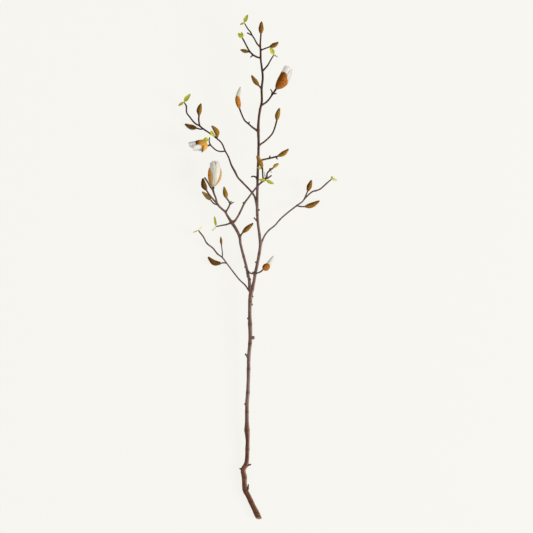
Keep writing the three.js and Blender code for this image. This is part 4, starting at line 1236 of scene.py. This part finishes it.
def finish_petal(name, tip, foot, shade):
    """Waxy white with long fine veins, warmer towards the foot."""
    petal = Finish(name)
    vein = petal.effect("streaks", petal.attribute("grain", "Vector"), 900.0, 22.0)["Streak"]
    patch = petal.effect("mottle", petal.place(), 90.0)["Patch"]
    base = petal.blend(petal.spread(petal.attribute("share"), 0.0, 0.6), foot, tip)
    veined = petal.blend(petal.times(vein, 0.3), base, shade)
    petal.shade({
        "Base Color": petal.blend(petal.times(patch, 0.25), veined, shade),
        "Roughness": petal.spread(vein, 0, 1, 0.42, 0.58),
        "Subsurface Weight": 0.15,
        "Subsurface Radius": (0.003, 0.0025, 0.002),
        "Normal": petal.raised(vein, 0.25 * MM, 0.6),
    })


def finish_leaf(name, light, dark, vein_colour):
    """Young green with a pale midrib and side veins."""
    leaf = Finish(name)
    blade = leaf.node("UVMap", {}, uv_map="Blade")["UV"]
    veins = leaf.effect("veins", blade, 9.0, 0.7)
    patch = leaf.effect("mottle", leaf.place(), 260.0)["Patch"]
    green = leaf.blend(patch, dark, light)
    lined = leaf.maths("MAXIMUM", veins["Midrib"], leaf.times(veins["Vein"], 0.45))
    leaf.shade({
        "Base Color": leaf.blend(lined, green, vein_colour),
        "Roughness": leaf.spread(patch, 0, 1, 0.45, 0.6),
        "Specular IOR Level": 0.25,
        "Subsurface Weight": 0.1,
        "Subsurface Radius": (0.001, 0.002, 0.0005),
        "Normal": leaf.raised(lined, 0.3 * MM, 0.8),
    })


# ---- Studio ----
def put(name, data):
    made = bpy.data.objects.new(name, data)
    bpy.context.scene.collection.objects.link(made)
    return made


def make_studio():
    floor = bmesh.new()
    bmesh.ops.create_grid(floor, x_segments=1, y_segments=1, size=5.0)
    mesh = bpy.data.meshes.new("floor")
    floor.to_mesh(mesh)
    floor.free()
    slab = put("floor", mesh)
    pale = Finish("pale_floor")
    seen = pale.node("LightPath", {})["Is Camera Ray"]
    pale.shade({
        "Base Color": FLOOR_COLOUR,
        "Roughness": 0.9,
        "Specular IOR Level": 0.1,
        "Emission Color": BACKDROP,
        "Emission Strength": pale.spread(seen, 0, 1, *FLOOR_GLOW),
    })
    mesh.materials.append(FINISHES["pale_floor"])

    world = bpy.data.worlds.new("studio")
    world.use_nodes = True
    sky = world.node_tree.nodes["Background"].inputs
    sky["Color"].default_value = paint(BACKDROP)
    sky["Strength"].default_value = SKY_STRENGTH
    bpy.context.scene.world = world

    for name, (spot, size, power) in LAMPS.items():
        light = bpy.data.lights.new(name, "AREA")
        light.size = size
        light.energy = power
        lamp = put(name, light)
        lamp.location = spot
        lamp.rotation_euler = (-Vector(spot)).to_track_quat("-Z", "Y").to_euler()
        lamp.visible_camera = False

    eye = bpy.data.cameras.new("camera")
    eye.sensor_width = SENSOR
    eye.lens = LENS
    eye.clip_end = 200.0
    camera = put("camera", eye)
    camera.location = FRAME_MIDDLE + UP * FRAME_WIDTH * LENS / SENSOR
    bpy.context.scene.camera = camera
    bpy.context.scene.view_settings.view_transform = "Standard"


# ---- The branch ----
EFFECTS = {}
FINISHES = {}
for make_effect in (make_streaks, make_mottle, make_specks, make_veins):
    make_effect()
finish_bark()
finish_end_grain()
for finish, table in ((finish_fur, FURS), (finish_petal, PETALS), (finish_leaf, LEAVES)):
    for name, colours in table.items():
        finish(name, *colours)

TRUNK = Course(MAIN_STEM[0] + LEADER[0][1:])
AXES = {name: Course(routes[0]) for name, routes in WOOD.items()}
make_wood()
for number, (axis, radius, fullest, fur) in enumerate(CLOSED_BUDS, 1):
    make_bud(f"closed_bud_{number:02d}", axis, radius, fullest, fur + "_fur")
make_blossoms()
make_leaves()
make_studio()
